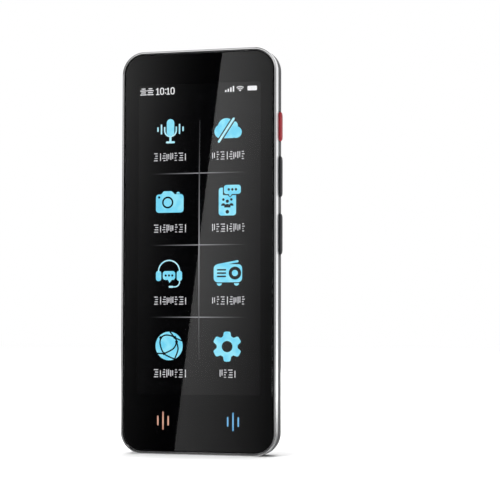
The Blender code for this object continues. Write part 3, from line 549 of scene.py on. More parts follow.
mesh = bmesh.new()
rim = [(RIM_WALL, PLATE_BACK), (RIM_WALL, SEAT), (RIM_LAND, SEAT)]
rim += [(RIM_LAND, RIM_SINK + RIM_BEVEL), (RIM_LAND - RIM_BEVEL, RIM_SINK)]
for u, v in arc(0, 0, RIM_ROUND, 1, 0, 4):
    rim.append((RIM_ROUND - u, RIM_SINK + RIM_ROUND - v))
rim += [(0, RIM_BACK - 0.15), (0.045, RIM_BACK - 0.045), (0.15, RIM_BACK)]
rim += [(PLATE_INSET, RIM_BACK), (PLATE_INSET, PLATE_BACK)]
encircle(mesh, rim, closed=True)
screws = ["speaker_screw_1", "speaker_screw_2", "sub_board_screw_1", "sub_board_screw_2"]
screws += [f"board_screw_{number}" for number in (1, 2, 3, 4)]
posts = [middle_of(node) for node in screws]
lead = sides_of("display_flex")
lead_wide = lead[0][1] - lead[0][0] + 2 * LEAD_CLEAR
bores = [circle(x, z, BORE_WIDE, 24) for x, _, z in posts]
holes = [box(0, lead[2][1] - LEAD_DROP, lead_wide, LEAD_SLOT), *bores]
slab(mesh, casing(RIM_WALL, RIM_WALL), PLATE_FRONT, PLATE_BACK, holes)
for x, _, z in posts:
    post(mesh, x, z, POST_WIDE, BORE_WIDE, PLATE_BACK, PLATE_BACK + POST_RISE)
piece("mid_frame_milled", mesh, silver, ["mid_frame"])

# The front glass: clear, 1.1 mm thick and ground to a rolled edge all round. It is laid
# in from the front and glued to the step inside the frame's rim.
GLASS_INSET = 0.75
GLASS_ROLL = 0.7
GLASS_FALL = 0.35
GLASS_THICK = 1.1
GLASS_BEVEL = 0.12


def clear_sheet(name, bend, smear_wide, smear_depth):
    """Clear glass that mirrors at its outer face, a little less where it is smeared."""
    made, place = finish(name)
    inner_face = place.node("ShaderNodeNewGeometry", {}, {}, "Backfacing")
    smear = place.grain(smear_wide, 4.0).share(0.5, 0.8)
    mirror = place.node("ShaderNodeFresnel", {}, {"IOR": bend})
    mirror = mirror * (1 - inner_face) * (1 - smear_depth * smear)
    clean = place.node("ShaderNodeBsdfTransparent", {}, {"Color": WHITE})
    sheen = place.node("ShaderNodeBsdfGlossy", {}, {"Color": WHITE, "Roughness": 0.014})
    place.shown(place.node("ShaderNodeMixShader", {}, {0: mirror, 1: clean, 2: sheen}))
    return made


mesh = bmesh.new()
profile = [(GLASS_INSET + GLASS_BEVEL, GLASS_THICK), (GLASS_INSET, GLASS_THICK - GLASS_BEVEL)]
rolled_edge = (GLASS_ROLL, GLASS_FALL)
profile.append((GLASS_INSET, GLASS_FALL))
profile += arc(GLASS_INSET + GLASS_ROLL, GLASS_FALL, rolled_edge, 2, 3, 8)[1:]
encircle(mesh, profile)
clear = clear_sheet("clear_glass", 1.45, 14.0, 0.06)
piece("cover_glass_ground", mesh, clear, ["cover_glass"])

# A bead of black sealant is laid round the glass once it is in the frame, and fills the
# gap between the two. It is drawn a hair clear of both, below the glass's rolled edge.
BEAD_CLEAR = 0.01
BEAD_FRONT = (0.55, 0.5)


def satin(name, low, high, broad, rough, uneven=0.0, relief=0.0, fine=None, **more):
    """A finish that drifts between two colours in a broad grain, and is rougher and
    raised by a fine one; a grain is its size and detail."""
    made, place = finish(name)
    drift = place.grain(*broad)
    fine = place.grain(*fine) if fine else drift
    roughness = rough + uneven * fine if uneven else rough
    place.coat(drift.mix(low, high), roughness, fine * relief if relief else None, **more)
    return made


bead = satin("black_seal", (0.004,) * 3, (0.008,) * 3, (0.8, 3.0), 0.8, relief=0.02, gleam=0.1)
mesh = bmesh.new()
inner, outer = GLASS_INSET - BEAD_CLEAR, RIM_LAND + BEAD_CLEAR
profile = [(inner, BEAD_FRONT[0]), (outer, BEAD_FRONT[1])]
profile += [(outer, SEAT - BEAD_CLEAR), (inner, SEAT - BEAD_CLEAR)]
encircle(mesh, profile, closed=True)
piece("glass_seal", mesh, bead)

# The ink fired on the back of the glass: a black layer that leaves a window for the
# display and a slit over each touch bar, a hair narrower than the bar itself.
MASK_INSET = 0.15
MASK_FRONT = 1.13
MASK_BACK = 1.19
WINDOW = (0, 75.5, 45.0, 109.2)
WINDOW_CORNER = 0.8
TOUCH_UP = 11.75
BAR_PITCH = 1.9
BAR_WIDE = 0.57
BARS = ((-1, 3.4), (0, 6.4), (1, 3.4))
TOUCH_MIDDLES = [middle_of(f"touch_light_{side}")[0] for side in ("left", "right")]
ink = satin("black_ink", (0.0006, 0.0006, 0.0008), (0.0016, 0.0016, 0.0018), (0.03,), 0.6, gleam=0.0)
mesh = bmesh.new()
slits = [
    pill(middle + step * BAR_PITCH, TOUCH_UP, BAR_WIDE, tall)
    for middle in TOUCH_MIDDLES
    for step, tall in BARS
]
edge = casing(GLASS_INSET + MASK_INSET, GLASS_INSET + MASK_INSET)
slab(mesh, edge, MASK_FRONT, MASK_BACK, [rounded(*WINDOW, WINDOW_CORNER), *slits])
piece("glass_mask", mesh, ink)

# The display: a black glass cell with its light sheet behind, wired by a folded lead that
# passes through the plate to a plug on the lower board.
# What it shows is drawn as thin lit shapes on its face, in plain generic signs.
GLOW_LOW = 1.36
GLOW_HIGH = 1.395


def dress(material, *nodes):
    """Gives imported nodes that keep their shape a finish."""
    for node in nodes:
        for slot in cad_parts[node].material_slots:
            slot.material = material


def lit(name, low, high, size):
    """A glowing screen colour, a little uneven from dot to dot."""
    made, place = finish(name)
    dots = place.grain(size, 1.0).share(0.35, 0.65)
    place.coat(BLACK, 0.6, gleam=0.0, glow=dots.mix(low, high))
    return made


cell, place = finish("display_cell")
columns = place.stripes("X", 900.0)
place.coat(columns.mix((0.0008, 0.0008, 0.001), (0.003, 0.003, 0.0034)), 0.03, gleam=0.126)
dress(cell, "display_panel")

sheet, place = finish("white_sheet")
dimple = place.cells(1100.0)
place.coat(dimple.mix((0.84, 0.84, 0.83), (0.74, 0.74, 0.74)), 0.55, dimple * 0.02)
dress(sheet, "display_backlight")

copper, place = finish("copper_flex")
tracks = place.stripes("X", 520.0)
bare = tracks.share(0.35, 0.6)
place.coat(
    bare.mix((0.36, 0.14, 0.03), (0.55, 0.27, 0.08)),
    0.38 + 0.16 * place.grain(3.0),
    tracks * 0.006,
    metal=0.35 * bare,
)
dress(copper, "display_flex", "board_flex", "camera_flex", "key_flex", "battery_lead")
dress(copper, "wifi_antenna", "cellular_antenna")

MOULDED = ((0.014, 0.014, 0.016), (0.028, 0.028, 0.03))
moulded = satin("black_moulding", *MOULDED, (0.25, 3.0), 0.42, 0.2, 0.006)
dress(moulded, "display_connector")


def stroke(points, wide):
    """Outline of a line of even width through places, with round ends."""
    spots = [Vector(point) for point in points]
    left, right = [], []
    for this, spot in enumerate(spots):
        before = spots[max(this - 1, 0)]
        after = spots[min(this + 1, len(spots) - 1)]
        way = (after - before).normalized()
        off = Vector((way.y, -way.x)) * wide / 2
        left.append(tuple(spot + off))
        right.append(tuple(spot - off))

    def end(spot, way):
        turn = math.atan2(way.y, way.x) / (math.pi / 2)
        return arc(*spot, wide / 2, turn - 1, turn + 1, 6)[1:-1]

    first = (spots[0] - spots[1]).normalized()
    last = (spots[-1] - spots[-2]).normalized()
    return left + end(spots[-1], last) + right[::-1] + end(spots[0], first)


def sign(name, material, outlines, low=GLOW_LOW, high=GLOW_HIGH):
    """Thin shapes on the display; an outline may come with its holes."""
    mesh = bmesh.new()
    for outline in outlines:
        outer, holes = outline if isinstance(outline, tuple) else (outline, ())
        slab(mesh, outer, low, high, holes)
    piece(name, mesh, material)


blue = lit("sign_blue", (0.18, 0.69, 0.93), (0.3, 0.8, 0.97), 2.6)
pale_blue = lit("sign_pale", (0.4, 0.84, 0.98), (0.56, 0.9, 1.0), 2.6)
unlit = lit("sign_dark", (0.003, 0.006, 0.008), (0.006, 0.01, 0.013), 1.0)
row_white = lit("sign_white", (0.86, 0.86, 0.88), (0.98, 0.98, 1.0), 0.6)
label_white = lit("label_white", (0.5, 0.5, 0.53), (0.85, 0.85, 0.88), 0.5)

# The status row along the display's top: two stacks of level strokes and plain figures
# for the time, then bars for the mobile signal, a fan for the wireless link and a full
# battery. All of it is white.
ROW_FOOT = 126.8
DIGIT_TALL = 2.25
DIGIT_STROKE = 0.34
SERIF_STROKE = DIGIT_STROKE * 0.9
NOUGHT_WIDE = 1.5
NOUGHT_TALL = DIGIT_TALL + 0.3
COLON = -12.5
SIGNAL_LEFT = 9.75
SIGNAL_STEP = 0.93
FAN = (14.95, 126.85)
BATTERY = (19.35, 127.8, 3.4, 1.6)


def figure_one(u, v):
    """A one: its stem, its flag and its foot."""
    top = v + DIGIT_TALL
    return [
        stroke([(u, v), (u, top - 0.1)], DIGIT_STROKE),
        stroke([(u - 0.55, top - 0.5), (u, top - 0.1)], SERIF_STROKE),
        stroke([(u - 0.5, v), (u + 0.5, v)], SERIF_STROKE),
    ]


def figure_nought(u, v):
    """A nought: a pill with a pill-shaped hole."""
    middle = v + DIGIT_TALL / 2
    inner = pill(u, middle, NOUGHT_WIDE - 2 * DIGIT_STROKE, NOUGHT_TALL - 2 * DIGIT_STROKE)
    return [(pill(u, middle, NOUGHT_WIDE, NOUGHT_TALL), [inner])]


row = figure_one(-15.35, ROW_FOOT) + figure_nought(-13.75, ROW_FOOT)
row += [circle(COLON, ROW_FOOT + rise, 0.4, 16) for rise in (0.45, 1.75)]
row += figure_one(-11.45, ROW_FOOT) + figure_nought(-9.85, ROW_FOOT)
for middle in (-20.7, -18.1):
    for rise, long in ((0.05, 2.1), (0.75, 1.5), (1.45, 2.1), (2.15, 1.2)):
        ends = [(middle + end * long / 2, ROW_FOOT + rise) for end in (-1, 1)]
        row.append(stroke(ends, 0.3))
for step in range(4):
    tall = 0.7 + 0.45 * step
    row.append(rounded(SIGNAL_LEFT + SIGNAL_STEP * step, 126.75 + tall / 2, 0.5, tall, 0.12, 3))
row.append([FAN, *arc(*FAN, 0.62, 0.5, 1.5, 8)])
for reach in (1.12, 1.72):
    row.append(stroke(arc(*FAN, reach, 0.52, 1.48, 12), 0.26))
row.append(rounded(*BATTERY, 0.25, 4))
sign("status_row", row_white, row)

# Hair lines part the eight signs: three level ones and an upright one, lit in grey.
# Each one fades out towards its two ends.
LINES_UP = (98.5, 73.25, 47.95)
LINE_GREY = (0.34, 0.34, 0.36)
MIDDLE_ACROSS = 0.1
MIDDLE_UP = 74.0
FADE_ACROSS = 19.0
FADE_UP = 43.0
hair, place = finish("hair_line")
off_across = abs(place.along(0) - MIDDLE_ACROSS)
off_up = abs(place.along(2) - MIDDLE_UP)
level_line = off_across > 0.2
left_over = (1 - off_across / FADE_ACROSS).share(0, 1), (1 - off_up / FADE_UP).share(0, 1)
glow = (level_line * left_over[0] + (1 - level_line) * left_over[1]) ** 1.7
place.coat(BLACK, 0.6, gleam=0.0, glow=glow.mix(BLACK, LINE_GREY))
lines = [box(-1.25, up, 37.5, 0.32) for up in LINES_UP]
sign("hair_lines", hair, lines, GLOW_LOW + 0.012)
sign("hair_line_upright", hair, [box(0.15, 75.2, 0.34, 84.0)], GLOW_LOW + 0.006)

# The microphone sign: a blue capsule, with its cradle, its foot and the two sound bars
# on either side drawn paler.
mx, mz = -10.55, 114.85
sign("sign_microphone", blue, [pill(mx, mz, 2.8, 6.1)])
cradle = arc(mx, mz - 1.0, 2.15, 2, 4, 16)
outlines = [
    stroke([(mx - 2.15, mz + 0.1), *cradle, (mx + 2.15, mz + 0.1)], 0.5),
    stroke([(mx, mz - 3.1), (mx, mz - 4.9)], 0.8),
    stroke([(mx - 1.3, mz - 5.2), (mx + 1.3, mz - 5.2)], 0.72),
]
for side in (-1, 1):
    outlines.append(pill(mx + side * 3.35, mz - 0.55, 0.54, 3.6))
    outlines.append(pill(mx + side * 4.65, mz - 0.55, 0.54, 1.7))
sign("sign_microphone_stand", pale_blue, outlines)

# The cloud sign, for use without a network: a cloud of five lobes with a flat foot,
# parted by a slanting pale bar with a gap on either side of it.
LOBES = ((8.15, 112.95, 2.5), (9.95, 114.5, 3.05), (13.55, 112.55, 2.05), (12.75, 115.0, 1.4))
LOBES += ((10.8, 112.4, 2.6),)
CLOUD_MIDDLE = Vector((10.6, 112.6))
CLOUD_FOOT = 110.5
CLOUD_STEPS = 120
SLASH = (Vector((7.3, 109.35)), Vector((12.65, 117.3)))
SLASH_GAP = 0.85


def kept_side(outline, at, way):
    """The part of an outline on the side of a line that way points to."""
    kept = []
    at, way = Vector(at), Vector(way)
    for here, after in zip(outline, outline[1:] + outline[:1]):
        near = (Vector(here) - at).dot(way)
        far = (Vector(after) - at).dot(way)
        if near >= 0:
            kept.append(here)
        if near * far < 0:
            kept.append(tuple(Vector(here).lerp(Vector(after), near / (near - far))))
    return kept


cloud = []
for step in range(CLOUD_STEPS):
    turn = 2 * math.pi * step / CLOUD_STEPS
    way = Vector((math.cos(turn), math.sin(turn)))
    reach = 0.0
    for x, z, radius in LOBES:
        gap = Vector((x, z)) - CLOUD_MIDDLE
        ahead = gap.dot(way)
        chord = radius**2 - (gap.length_squared - ahead**2)
        if chord > 0:
            reach = max(reach, ahead + math.sqrt(chord))
    if way.y < 0:
        reach = min(reach, (CLOUD_FOOT - CLOUD_MIDDLE.y) / way.y)
    cloud.append(tuple(CLOUD_MIDDLE + reach * way))
way = (SLASH[1] - SLASH[0]).normalized()
off = Vector((way.y, -way.x))
halves = [kept_side(cloud, SLASH[0] + off * SLASH_GAP * side, off * side) for side in (1, -1)]
sign("sign_cloud", blue, halves)
sign("sign_cloud_bar", pale_blue, [stroke(SLASH, 0.8)])

# The camera sign: one blue body with a raised hood and a button. A ring and a small hole
# in it, where the black display shows through, stand for the lens and the finder.
body = [(-15.8, 86.0), *arc(-14.7, 85.85, 1.1, 2, 3, 6), *arc(-6.7, 85.85, 1.1, 3, 4, 6)]
body += [*arc(-6.7, 90.15, 1.1, 0, 1, 6), (-8.9, 91.25), (-9.5, 91.9)]
body += [*arc(-10.4, 91.5, 0.85, 0.6, 1, 4), *arc(-12.6, 91.5, 0.85, 1, 1.4, 4)]
body += [(-13.6, 91.5), (-14.1, 91.25), *arc(-14.7, 90.15, 1.1, 1, 2, 6)]
holes = [circle(-11.45, 88.35, 4.2, 32), circle(-14.65, 90.2, 0.85, 12)]
shutter = arc(-7.6, 91.4, 0.65, 0, 2, 8)
sign("sign_camera", blue, [(body, holes), circle(-11.45, 88.35, 3.0, 32), shutter])

# The group talk sign: a telephone, cut away where a speech bubble stands over its corner.
# Three small figures, the bubble's dots and its edge are dark marks on the blue.
telephone = rounded(10.45, 88.3, 6.3, 9.8, 1.0)
lower = kept_side(telephone, (0, 90.55), (0, -1))
beside_bubble = kept_side(kept_side(telephone, (8.8, 0), (-1, 0)), (0, 90.5), (0, 1))
bubble = rounded(12.25, 92.5, 6.1, 3.2, 0.9)
beak = [(10.7, 91.1), (11.5, 90.2), (12.3, 91.1)]
sign("sign_group_talk", blue, [lower, beside_bubble, bubble, beak])


def marks(name, outlines):
    """Dark marks laid just before a sign's face."""
    sign(name, unlit, outlines, GLOW_LOW - 0.02, GLOW_LOW - 0.004)


notes = [circle(x, 92.5, 0.9, 12) for x in (10.95, 12.25, 13.55)]
for x, z, head, wide in ((9.0, 89.0, 0.9, 1.6), (11.9, 89.0, 0.9, 1.6), (10.45, 88.4, 1.15, 2.3)):
    notes.append(circle(x, z, head, 16))
    notes.append(kept_side(circle(x, z - 2.1, wide, 24), (0, z - 2.2), (0, 1)))
notes.append(circle(10.45, 84.7, 1.3, 16))
edge = [(9.6, 90.66), (10.6, 90.66), (11.45, 89.9), (12.3, 90.66), (13.4, 90.66)]
notes.append(stroke(edge, 0.34))
marks("sign_group_talk_marks", notes)

# The headset sign: two cups with a talk bubble between them, a pale band over the top
# and a pale boom that ends in a microphone below. Three dark dots stand in the bubble.
hx, hz = -10.85, 64.0
band = [(hx - 3.9, hz - 0.2), *arc(hx, hz, 3.9, 2, 0, 24), (hx + 3.9, hz - 0.2)]
boom = [(hx + 3.9, 60.6), *arc(hx + 2.2, 60.3, 1.7, 4, 3, 8), (hx + 0.6, 58.6)]
outlines = [rounded(hx + side * 3.85, 62.45, 1.95, 3.6, 0.9) for side in (-1, 1)]
outlines.append(rounded(hx, 62.6, 4.6, 3.1, 0.95))
outlines.append([(hx - 0.4, 61.1), (hx + 0.2, 60.0), (hx + 1.1, 61.1)])
sign("sign_headset", blue, outlines)
outlines = [stroke(band, 0.44), stroke(boom, 0.4), pill(hx + 0.75, 58.62, 1.7, 0.7)]
sign("sign_headset_band", pale_blue, outlines)
marks("sign_headset_marks", [circle(hx + x, 62.6, 0.8, 12) for x in (-1.2, 0.0, 1.2)])

# The recorder sign: a set with a slanting handle, a round speaker in a ring, and two
# cut-off round feet. Three dark slots are laid on it.
ROUND_AT = (13.25, 63.3)
outlines = [
    (rounded(10.7, 63.25, 10.3, 6.3, 1.5), [circle(*ROUND_AT, 4.5, 32)]),
    circle(*ROUND_AT, 2.2, 24),
    stroke([(7.0, 66.1), (14.2, 67.4)], 0.75),
]
for x in (7.6, 13.85):
    outlines.append(kept_side(circle(x, 59.85, 1.9, 24), (0, 59.75), (0, -1)))
sign("sign_recorder", blue, outlines)
marks("sign_recorder_marks", [stroke([(7.0, z), (9.8, z)], 0.54) for z in (64.45, 63.3, 62.15)])

# The globe sign: a blue disc, crossed by curved dark routes that meet in dots.
# The places are given from the disc's middle.
gx, gz = -10.7, 37.85
ROUTES = (
    ((-3.1, 2.9), (-1.6, 3.75), (0.3, 3.7), (2.1, 3.0)),
    ((0.4, 4.95), (2.1, 3.0), (4.6, 1.9)),
    ((2.1, 3.0), (2.75, 1.5), (1.6, -0.9), (-1.8, -2.7)),
    ((-3.1, 2.9), (-3.3, 0.6), (-1.8, -2.7), (2.0, -4.55)),
    ((2.75, 1.5), (3.3, -1.2), (2.1, -4.5)),
    ((-4.2, -2.6), (-1.8, -2.7)),
)
KNOTS = ((-3.1, 2.9), (2.1, 3.0), (2.75, 1.5), (-1.8, -2.7))


def eased(points, steps=6):
    """A smooth line through a few places."""
    spots = [Vector(point) for point in (points[0], *points, points[-1])]
    line = []
    for a, b, c, d in zip(spots, spots[1:], spots[2:], spots[3:]):
        for step in range(steps):
            t = step / steps
            bend = 2 * b + (c - a) * t + (2 * a - 5 * b + 4 * c - d) * t**2
            line.append(0.5 * bend + 0.5 * (3 * b - a - 3 * c + d) * t**3)
    return [tuple(spot) for spot in (*line, spots[-1])]


sign("sign_globe", blue, [circle(gx, gz, 10.0, 64)])
notes = [stroke([(gx + x, gz + z) for x, z in eased(route)], 0.5) for route in ROUTES]
notes += [circle(gx + x, gz + z, 1.1, 12) for x, z in KNOTS]
marks("sign_globe_marks", notes)

# The settings sign: a wheel with six round teeth and an open middle.
# A tooth is a wave round the rim with its crests and troughs cut level.
wx, wz = 10.5, 37.75
TEETH = 6
WHEEL_STEPS = 144
wheel = []
for step in range(WHEEL_STEPS):
    turn = 2 * math.pi * step / WHEEL_STEPS
    tooth = max(-1.0, min(1.0, 1.35 * math.cos(TEETH * (turn - math.pi / 2)) + 0.3))
    reach = 4.5 + 0.72 * math.sin(tooth * math.pi / 2)
    wheel.append((wx + reach * math.cos(turn), wz + reach * math.sin(turn)))
sign("sign_settings", blue, [(wheel, [circle(wx, wz, 3.9, 40)])])

# A caption stands under each sign: a row of tiles, each one made of short strokes.
# CAPTIONS gives the left end, the foot and the number of tiles of each row.
CAPTIONS = ((-16.5, 103.22, 4), (5.0, 103.22, 4), (-16.35, 77.92, 4), (5.1, 77.92, 4))
CAPTIONS += ((-16.2, 52.52, 4), (5.2, 52.52, 4), (-16.15, 27.02, 4), (8.0, 27.12, 2))
TILE_STEP = 3.07
TILE_WIDE = 2.3
TILE_TALL = 2.5
TILE_STROKE = 0.3
TILE_SHARES = (0.62, 0.4, 0.5, 0.7, 0.46, 0.56)
LEVEL_SHIFT = 0.22
UPRIGHT_STEP = 0.68
UPRIGHT_SHIFT = 0.32


def tile_strokes(left, foot, turn):
    """Level strokes beside upright ones, in an uneven order that spells nothing."""
    split = TILE_WIDE * TILE_SHARES[turn % 6]
    lines = []
    for level in range(4):
        height = TILE_TALL * level / 3
        start = LEVEL_SHIFT * ((level + turn) % 3)
        lines.append([(start, height), (split - TILE_STROKE, height)])
    for number in range(1 + (TILE_WIDE - split > 1.0)):
        across = TILE_WIDE - UPRIGHT_STEP * number
        low = UPRIGHT_SHIFT * ((number + turn) % 3)
        lines.append([(across, low), (across, TILE_TALL - UPRIGHT_SHIFT * (turn % 2))])
    if turn % 3 == 1:
        lines = [[(TILE_WIDE - x, z) for x, z in ends] for ends in lines]
    return [stroke([(left + x, foot + z) for x, z in ends], TILE_STROKE) for ends in lines]


strokes = []
for number, (left, foot, tiles) in enumerate(CAPTIONS):
    for tile in range(tiles):
        turn = 7 * number + 5 * tile + number // 2
        strokes += tile_strokes(left + tile * TILE_STEP, foot, turn)
sign("captions", label_white, strokes)

# Two touch marks below the display: clear bars lit orange and blue from a small board.
# They are flush behind the glass, and sense a finger through it. The other boards are
# made alike, of green laminate with copper tracks and gilt pads.
for side, middle_colour, end_colour in (
    ("left", (0.52, 0.3, 0.22), (0.34, 0.16, 0.115)),
    ("right", (0.14, 0.35, 0.56), (0.065, 0.24, 0.44)),
):
    bars, place = finish("touch_bar_" + side)
    off_middle = abs(place.along(2) - TOUCH_UP).share(0.5, 3.2)
    place.coat(end_colour, 0.4, glow=off_middle.mix(middle_colour, end_colour))
    dress(bars, "touch_light_" + side)

board, place = finish("green_board")
quarter_turn = {"Vector": place, "Angle": math.pi / 2}
laid = place.node("ShaderNodeVectorRotate", {"rotation_type": "X_AXIS"}, quarter_turn)
bricks = {"Vector": laid, "Scale": 900.0, "Mortar Size": 0.03}
bricks |= {"Brick Width": 2.3, "Row Height": 0.7}
joins = place.node("ShaderNodeTexBrick", {"offset": 0.37}, bricks, "Fac")
pad = place.cells(620.0) < 0.22
green = place.grain(1.5).mix((0.012, 0.085, 0.04), (0.02, 0.13, 0.06))
traced = joins.mix(green, (0.04, 0.22, 0.1))
place.coat(
    pad.mix(traced, (0.62, 0.5, 0.22)),
    0.42 - 0.12 * pad,
    joins * 0.01 + pad * 0.012,
    metal=pad * 0.8,
)
dress(board, "touch_key_board", "main_board", "sub_board", "battery_board")

# The boards' parts: pressed steel shields, sockets and screws, and moulded black plugs.
# Steel shows its rolling grain; the shields are dimpled where they were pressed.
steel, place = finish("bright_steel")
drawn_out = place.node("ShaderNodeMapping", {}, {"Vector": place, "Scale": (0.06, 1.0, 1.0)})
rolled = drawn_out.grain(0.12, 3.0)
dimples = place.cells(380.0, "SMOOTH_F1").share(0.05, 0.3)
place.coat(
    place.grain(4.0).mix((0.5, 0.49, 0.47), (0.62, 0.62, 0.61)),
    0.26 + 0.14 * rolled,
    rolled * 0.003 + dimples * 0.02,
    metal=1.0,
)
dress(steel, "processor_shield", "radio_shield", "microphone_top", "microphone_bottom")
dress(steel, "sim_socket", "usb_shell", "key_bracket", *screws)
dress(steel, "power_switch", "volume_up_switch", "volume_down_switch")
dress(moulded, "camera_connector", "battery_connector", "camera_barrel", "camera_housing")
dress(moulded, "usb_tongue", "speaker_box")

# The charging socket's contacts: twelve thin strips plated with gold on each face of its
# tongue, half a millimetre from one to the next.
CONTACT_STEP = 0.5
CONTACT_WIDE = 0.26
CONTACT_THICK = 0.03
gold = satin("gold_contact", (0.72, 0.5, 0.2), (0.85, 0.63, 0.3), (0.4,), 0.22, 0.15, metal=1.0)
tongue = sides_of("usb_tongue")
mesh = bmesh.new()
for step in range(12):
    middle = (step - 5.5) * CONTACT_STEP
    for depth, out in zip(tongue[1], (-1, 1)):
        contact = box(middle, depth + out * CONTACT_THICK / 2, CONTACT_WIDE, CONTACT_THICK)
        slab(mesh, contact, tongue[2][0] + 0.6, tongue[2][1] - 1.2, (), upright)
piece("usb_contacts", mesh, gold)

# The battery: a soft cell in creased grey film, stuck to the frame's plate. Its folded
# ends are taped in yellow-brown.
TAPE_LONG = 4.0
pouch, place = finish("battery_film")
foot, top = sides_of("battery")[2]
creased = place.grain(1.2, 4.0)
up = place.along(2)
taped = 1 - (up > foot + TAPE_LONG) * (up < top - TAPE_LONG)
place.coat(
    taped.mix((0.1, 0.1, 0.11), (0.34, 0.2, 0.05)),
    0.5 - 0.12 * creased - 0.1 * taped,
    creased * 0.03 + taped * 0.05,
)
dress(pouch, "battery")

# The loudspeaker: a driver with a ribbed black cone, held in its moulded box and pressed
# against the back shell on a gasket of black foam.
SPEAKER_UP = HIGH - 18.0
foam, place = finish("black_foam")
# Each pore is darker in its middle, where it is deepest: a painted shade in the hollow, over the real
# pits of the relief.
pits_and_painted_shade = place.cells(3200.0)
place.coat(pits_and_painted_shade.mix((0.006,) * 3, (0.022,) * 3), 0.95, pits_and_painted_shade * 0.04)
dress(foam, "speaker_gasket")
cone, place = finish("speaker_cone")
ribs = place.ripples((0, 0, SPEAKER_UP * MM), 260.0)
# The cone's ribs are darker in their troughs and lighter on their crests, a painted shade that follows
# the relief.
place.coat(ribs.mix((0.012, 0.012, 0.013), (0.03, 0.03, 0.032)), 0.35 + 0.2 * ribs, ribs * 0.04)
dress(cone, "speaker_driver")

# The side keys: moulded caps with softly rounded faces, the power key in red.
# Each one stands on a neck, is kept in by a flange and presses its switch with a stem.
WALL = 1.7
KEY_WIDE = 3.25
KEY_ROUND = 0.42
KEY_CROWN = 0.03
KEY_DEPTH = RIM_BACK + 0.45 + KEY_WIDE / 2
CAP_IN = WIDE / 2 - PLATE_INSET + 0.65
FLANGE_LAP = 0.8
FLANGE_THICK = 0.8
FLANGE_OUT = WIDE / 2 - WALL - 0.3
NECK_INSET = 0.5
STEM_TIP = 1.3
STEM_WIDE = 1.6
RED = ((0.42, 0.041, 0.05), (0.51, 0.055, 0.068))
DARK = ((0.024, 0.024, 0.027), (0.036, 0.036, 0.04))


def button(mesh, u, v, wide, tall, profile, plane=facing, closed=False, steps=12):
    """Skins (inset, level) rings of one round-ended outline."""
    rings = [(pill(u, v, wide, tall, inset, steps), level) for inset, level in profile]
    loft(mesh, rings, plane, closed)


grains = {"broad": (2.5,), "fine": (0.12, 3.0)}
red = satin("red_key", *RED, rough=0.4, uneven=0.12, relief=0.004, gleam=0.08, **grains)
dark = satin("dark_key", *DARK, rough=0.42, uneven=0.14, relief=0.004, gleam=0.08, **grains)
caps = []
for name, material, slot in (
    ("power_key", red, "red_key"),
    ("volume_up_key", dark, "dark_key"),
    ("volume_down_key", dark, "dark_key"),
):
    (inner, outer), (front, back), (low, high) = sides_of(name)
    web = (front + back) / 2
    up = (low + high) / 2
    long = high - low - 2 * FLANGE_LAP
    caps.append((up, long))
    mesh = bmesh.new()
    profile = [(1.35, outer), (0.9, outer - 0.012)]
    profile += arc(KEY_ROUND, outer - KEY_ROUND - KEY_CROWN, KEY_ROUND, 1, 2, 6)
    profile.append((0, CAP_IN))
    button(mesh, KEY_DEPTH, up, KEY_WIDE, long, profile, sideways)
    neck = rounded(web, up, back - front - NECK_INSET, long - KEY_WIDE, 0.2, 3)
    slab(mesh, neck, FLANGE_OUT, CAP_IN, (), sideways)
    flange = rounded(web, up, back - front, high - low, 0.3, 3)
    slab(mesh, flange, FLANGE_OUT - FLANGE_THICK, FLANGE_OUT, (), sideways)
    stem = [(STEM_TIP, inner), (STEM_WIDE, inner + 0.15), (STEM_WIDE, FLANGE_OUT - FLANGE_THICK)]
    loft(mesh, [(circle(web, up, wide, 24), level) for wide, level in stem], sideways)
    piece(name + "_moulded", mesh, material, [name], name)

# The card tray: its head is moulded to the shell's colour and closes the slot, and its
# plate has a stepped pocket for one small card, with one corner cut.
HEAD_WIDE = 1.6
HEAD_ROUND = 0.12
HEAD_IN = -WIDE / 2 + WALL
PLATE_START = HEAD_IN - 0.2
PLATE_WIDE = 12.0
PLATE_THIN = 0.3
POCKET_FLOOR = 0.05
GREY = ((0.108, 0.108, 0.112), (0.122, 0.122, 0.126))
grey = satin("grey_shell", *GREY, (18.0, 3.0), 0.46, 0.18, 0.006, (0.09, 4.0), gleam=0.08)
(left, right), (front, back), (low, high) = sides_of("sim_tray")
tray_depth = (front + back) / 2
tray_up = (low + high) / 2


def pocket(start, end, low, high, cut):
    """Outline of a card's pocket with one corner cut, by heights about the tray's middle."""
    points = [(start, low), (end, low), (end, cut), (end - (high - cut), high), (start, high)]
    return [(x, tray_up + z) for x, z in points]


mesh = bmesh.new()
profile = [*arc(HEAD_ROUND, left + HEAD_ROUND, HEAD_ROUND, 3, 2, 3), (0, HEAD_IN)]
button(mesh, tray_depth, tray_up, HEAD_WIDE, high - low, profile, sideways, steps=8)
middle = (PLATE_START + right) / 2
plate = rounded(middle, tray_up, right - PLATE_START, PLATE_WIDE, 0.5, 4)
ledge = pocket(left + 3.7, right - 1.7, -3.9, 3.9, 3.0)
slab(mesh, plate, tray_depth - PLATE_THIN, tray_depth - POCKET_FLOOR, [ledge])
card_room = pocket(left + 3.2, right - 1.2, -4.4, 4.4, 3.2)
slab(mesh, plate, tray_depth - POCKET_FLOOR, tray_depth + PLATE_THIN, [card_room])
piece("card_tray_moulded", mesh, grey, ["sim_tray"], "sim_tray")

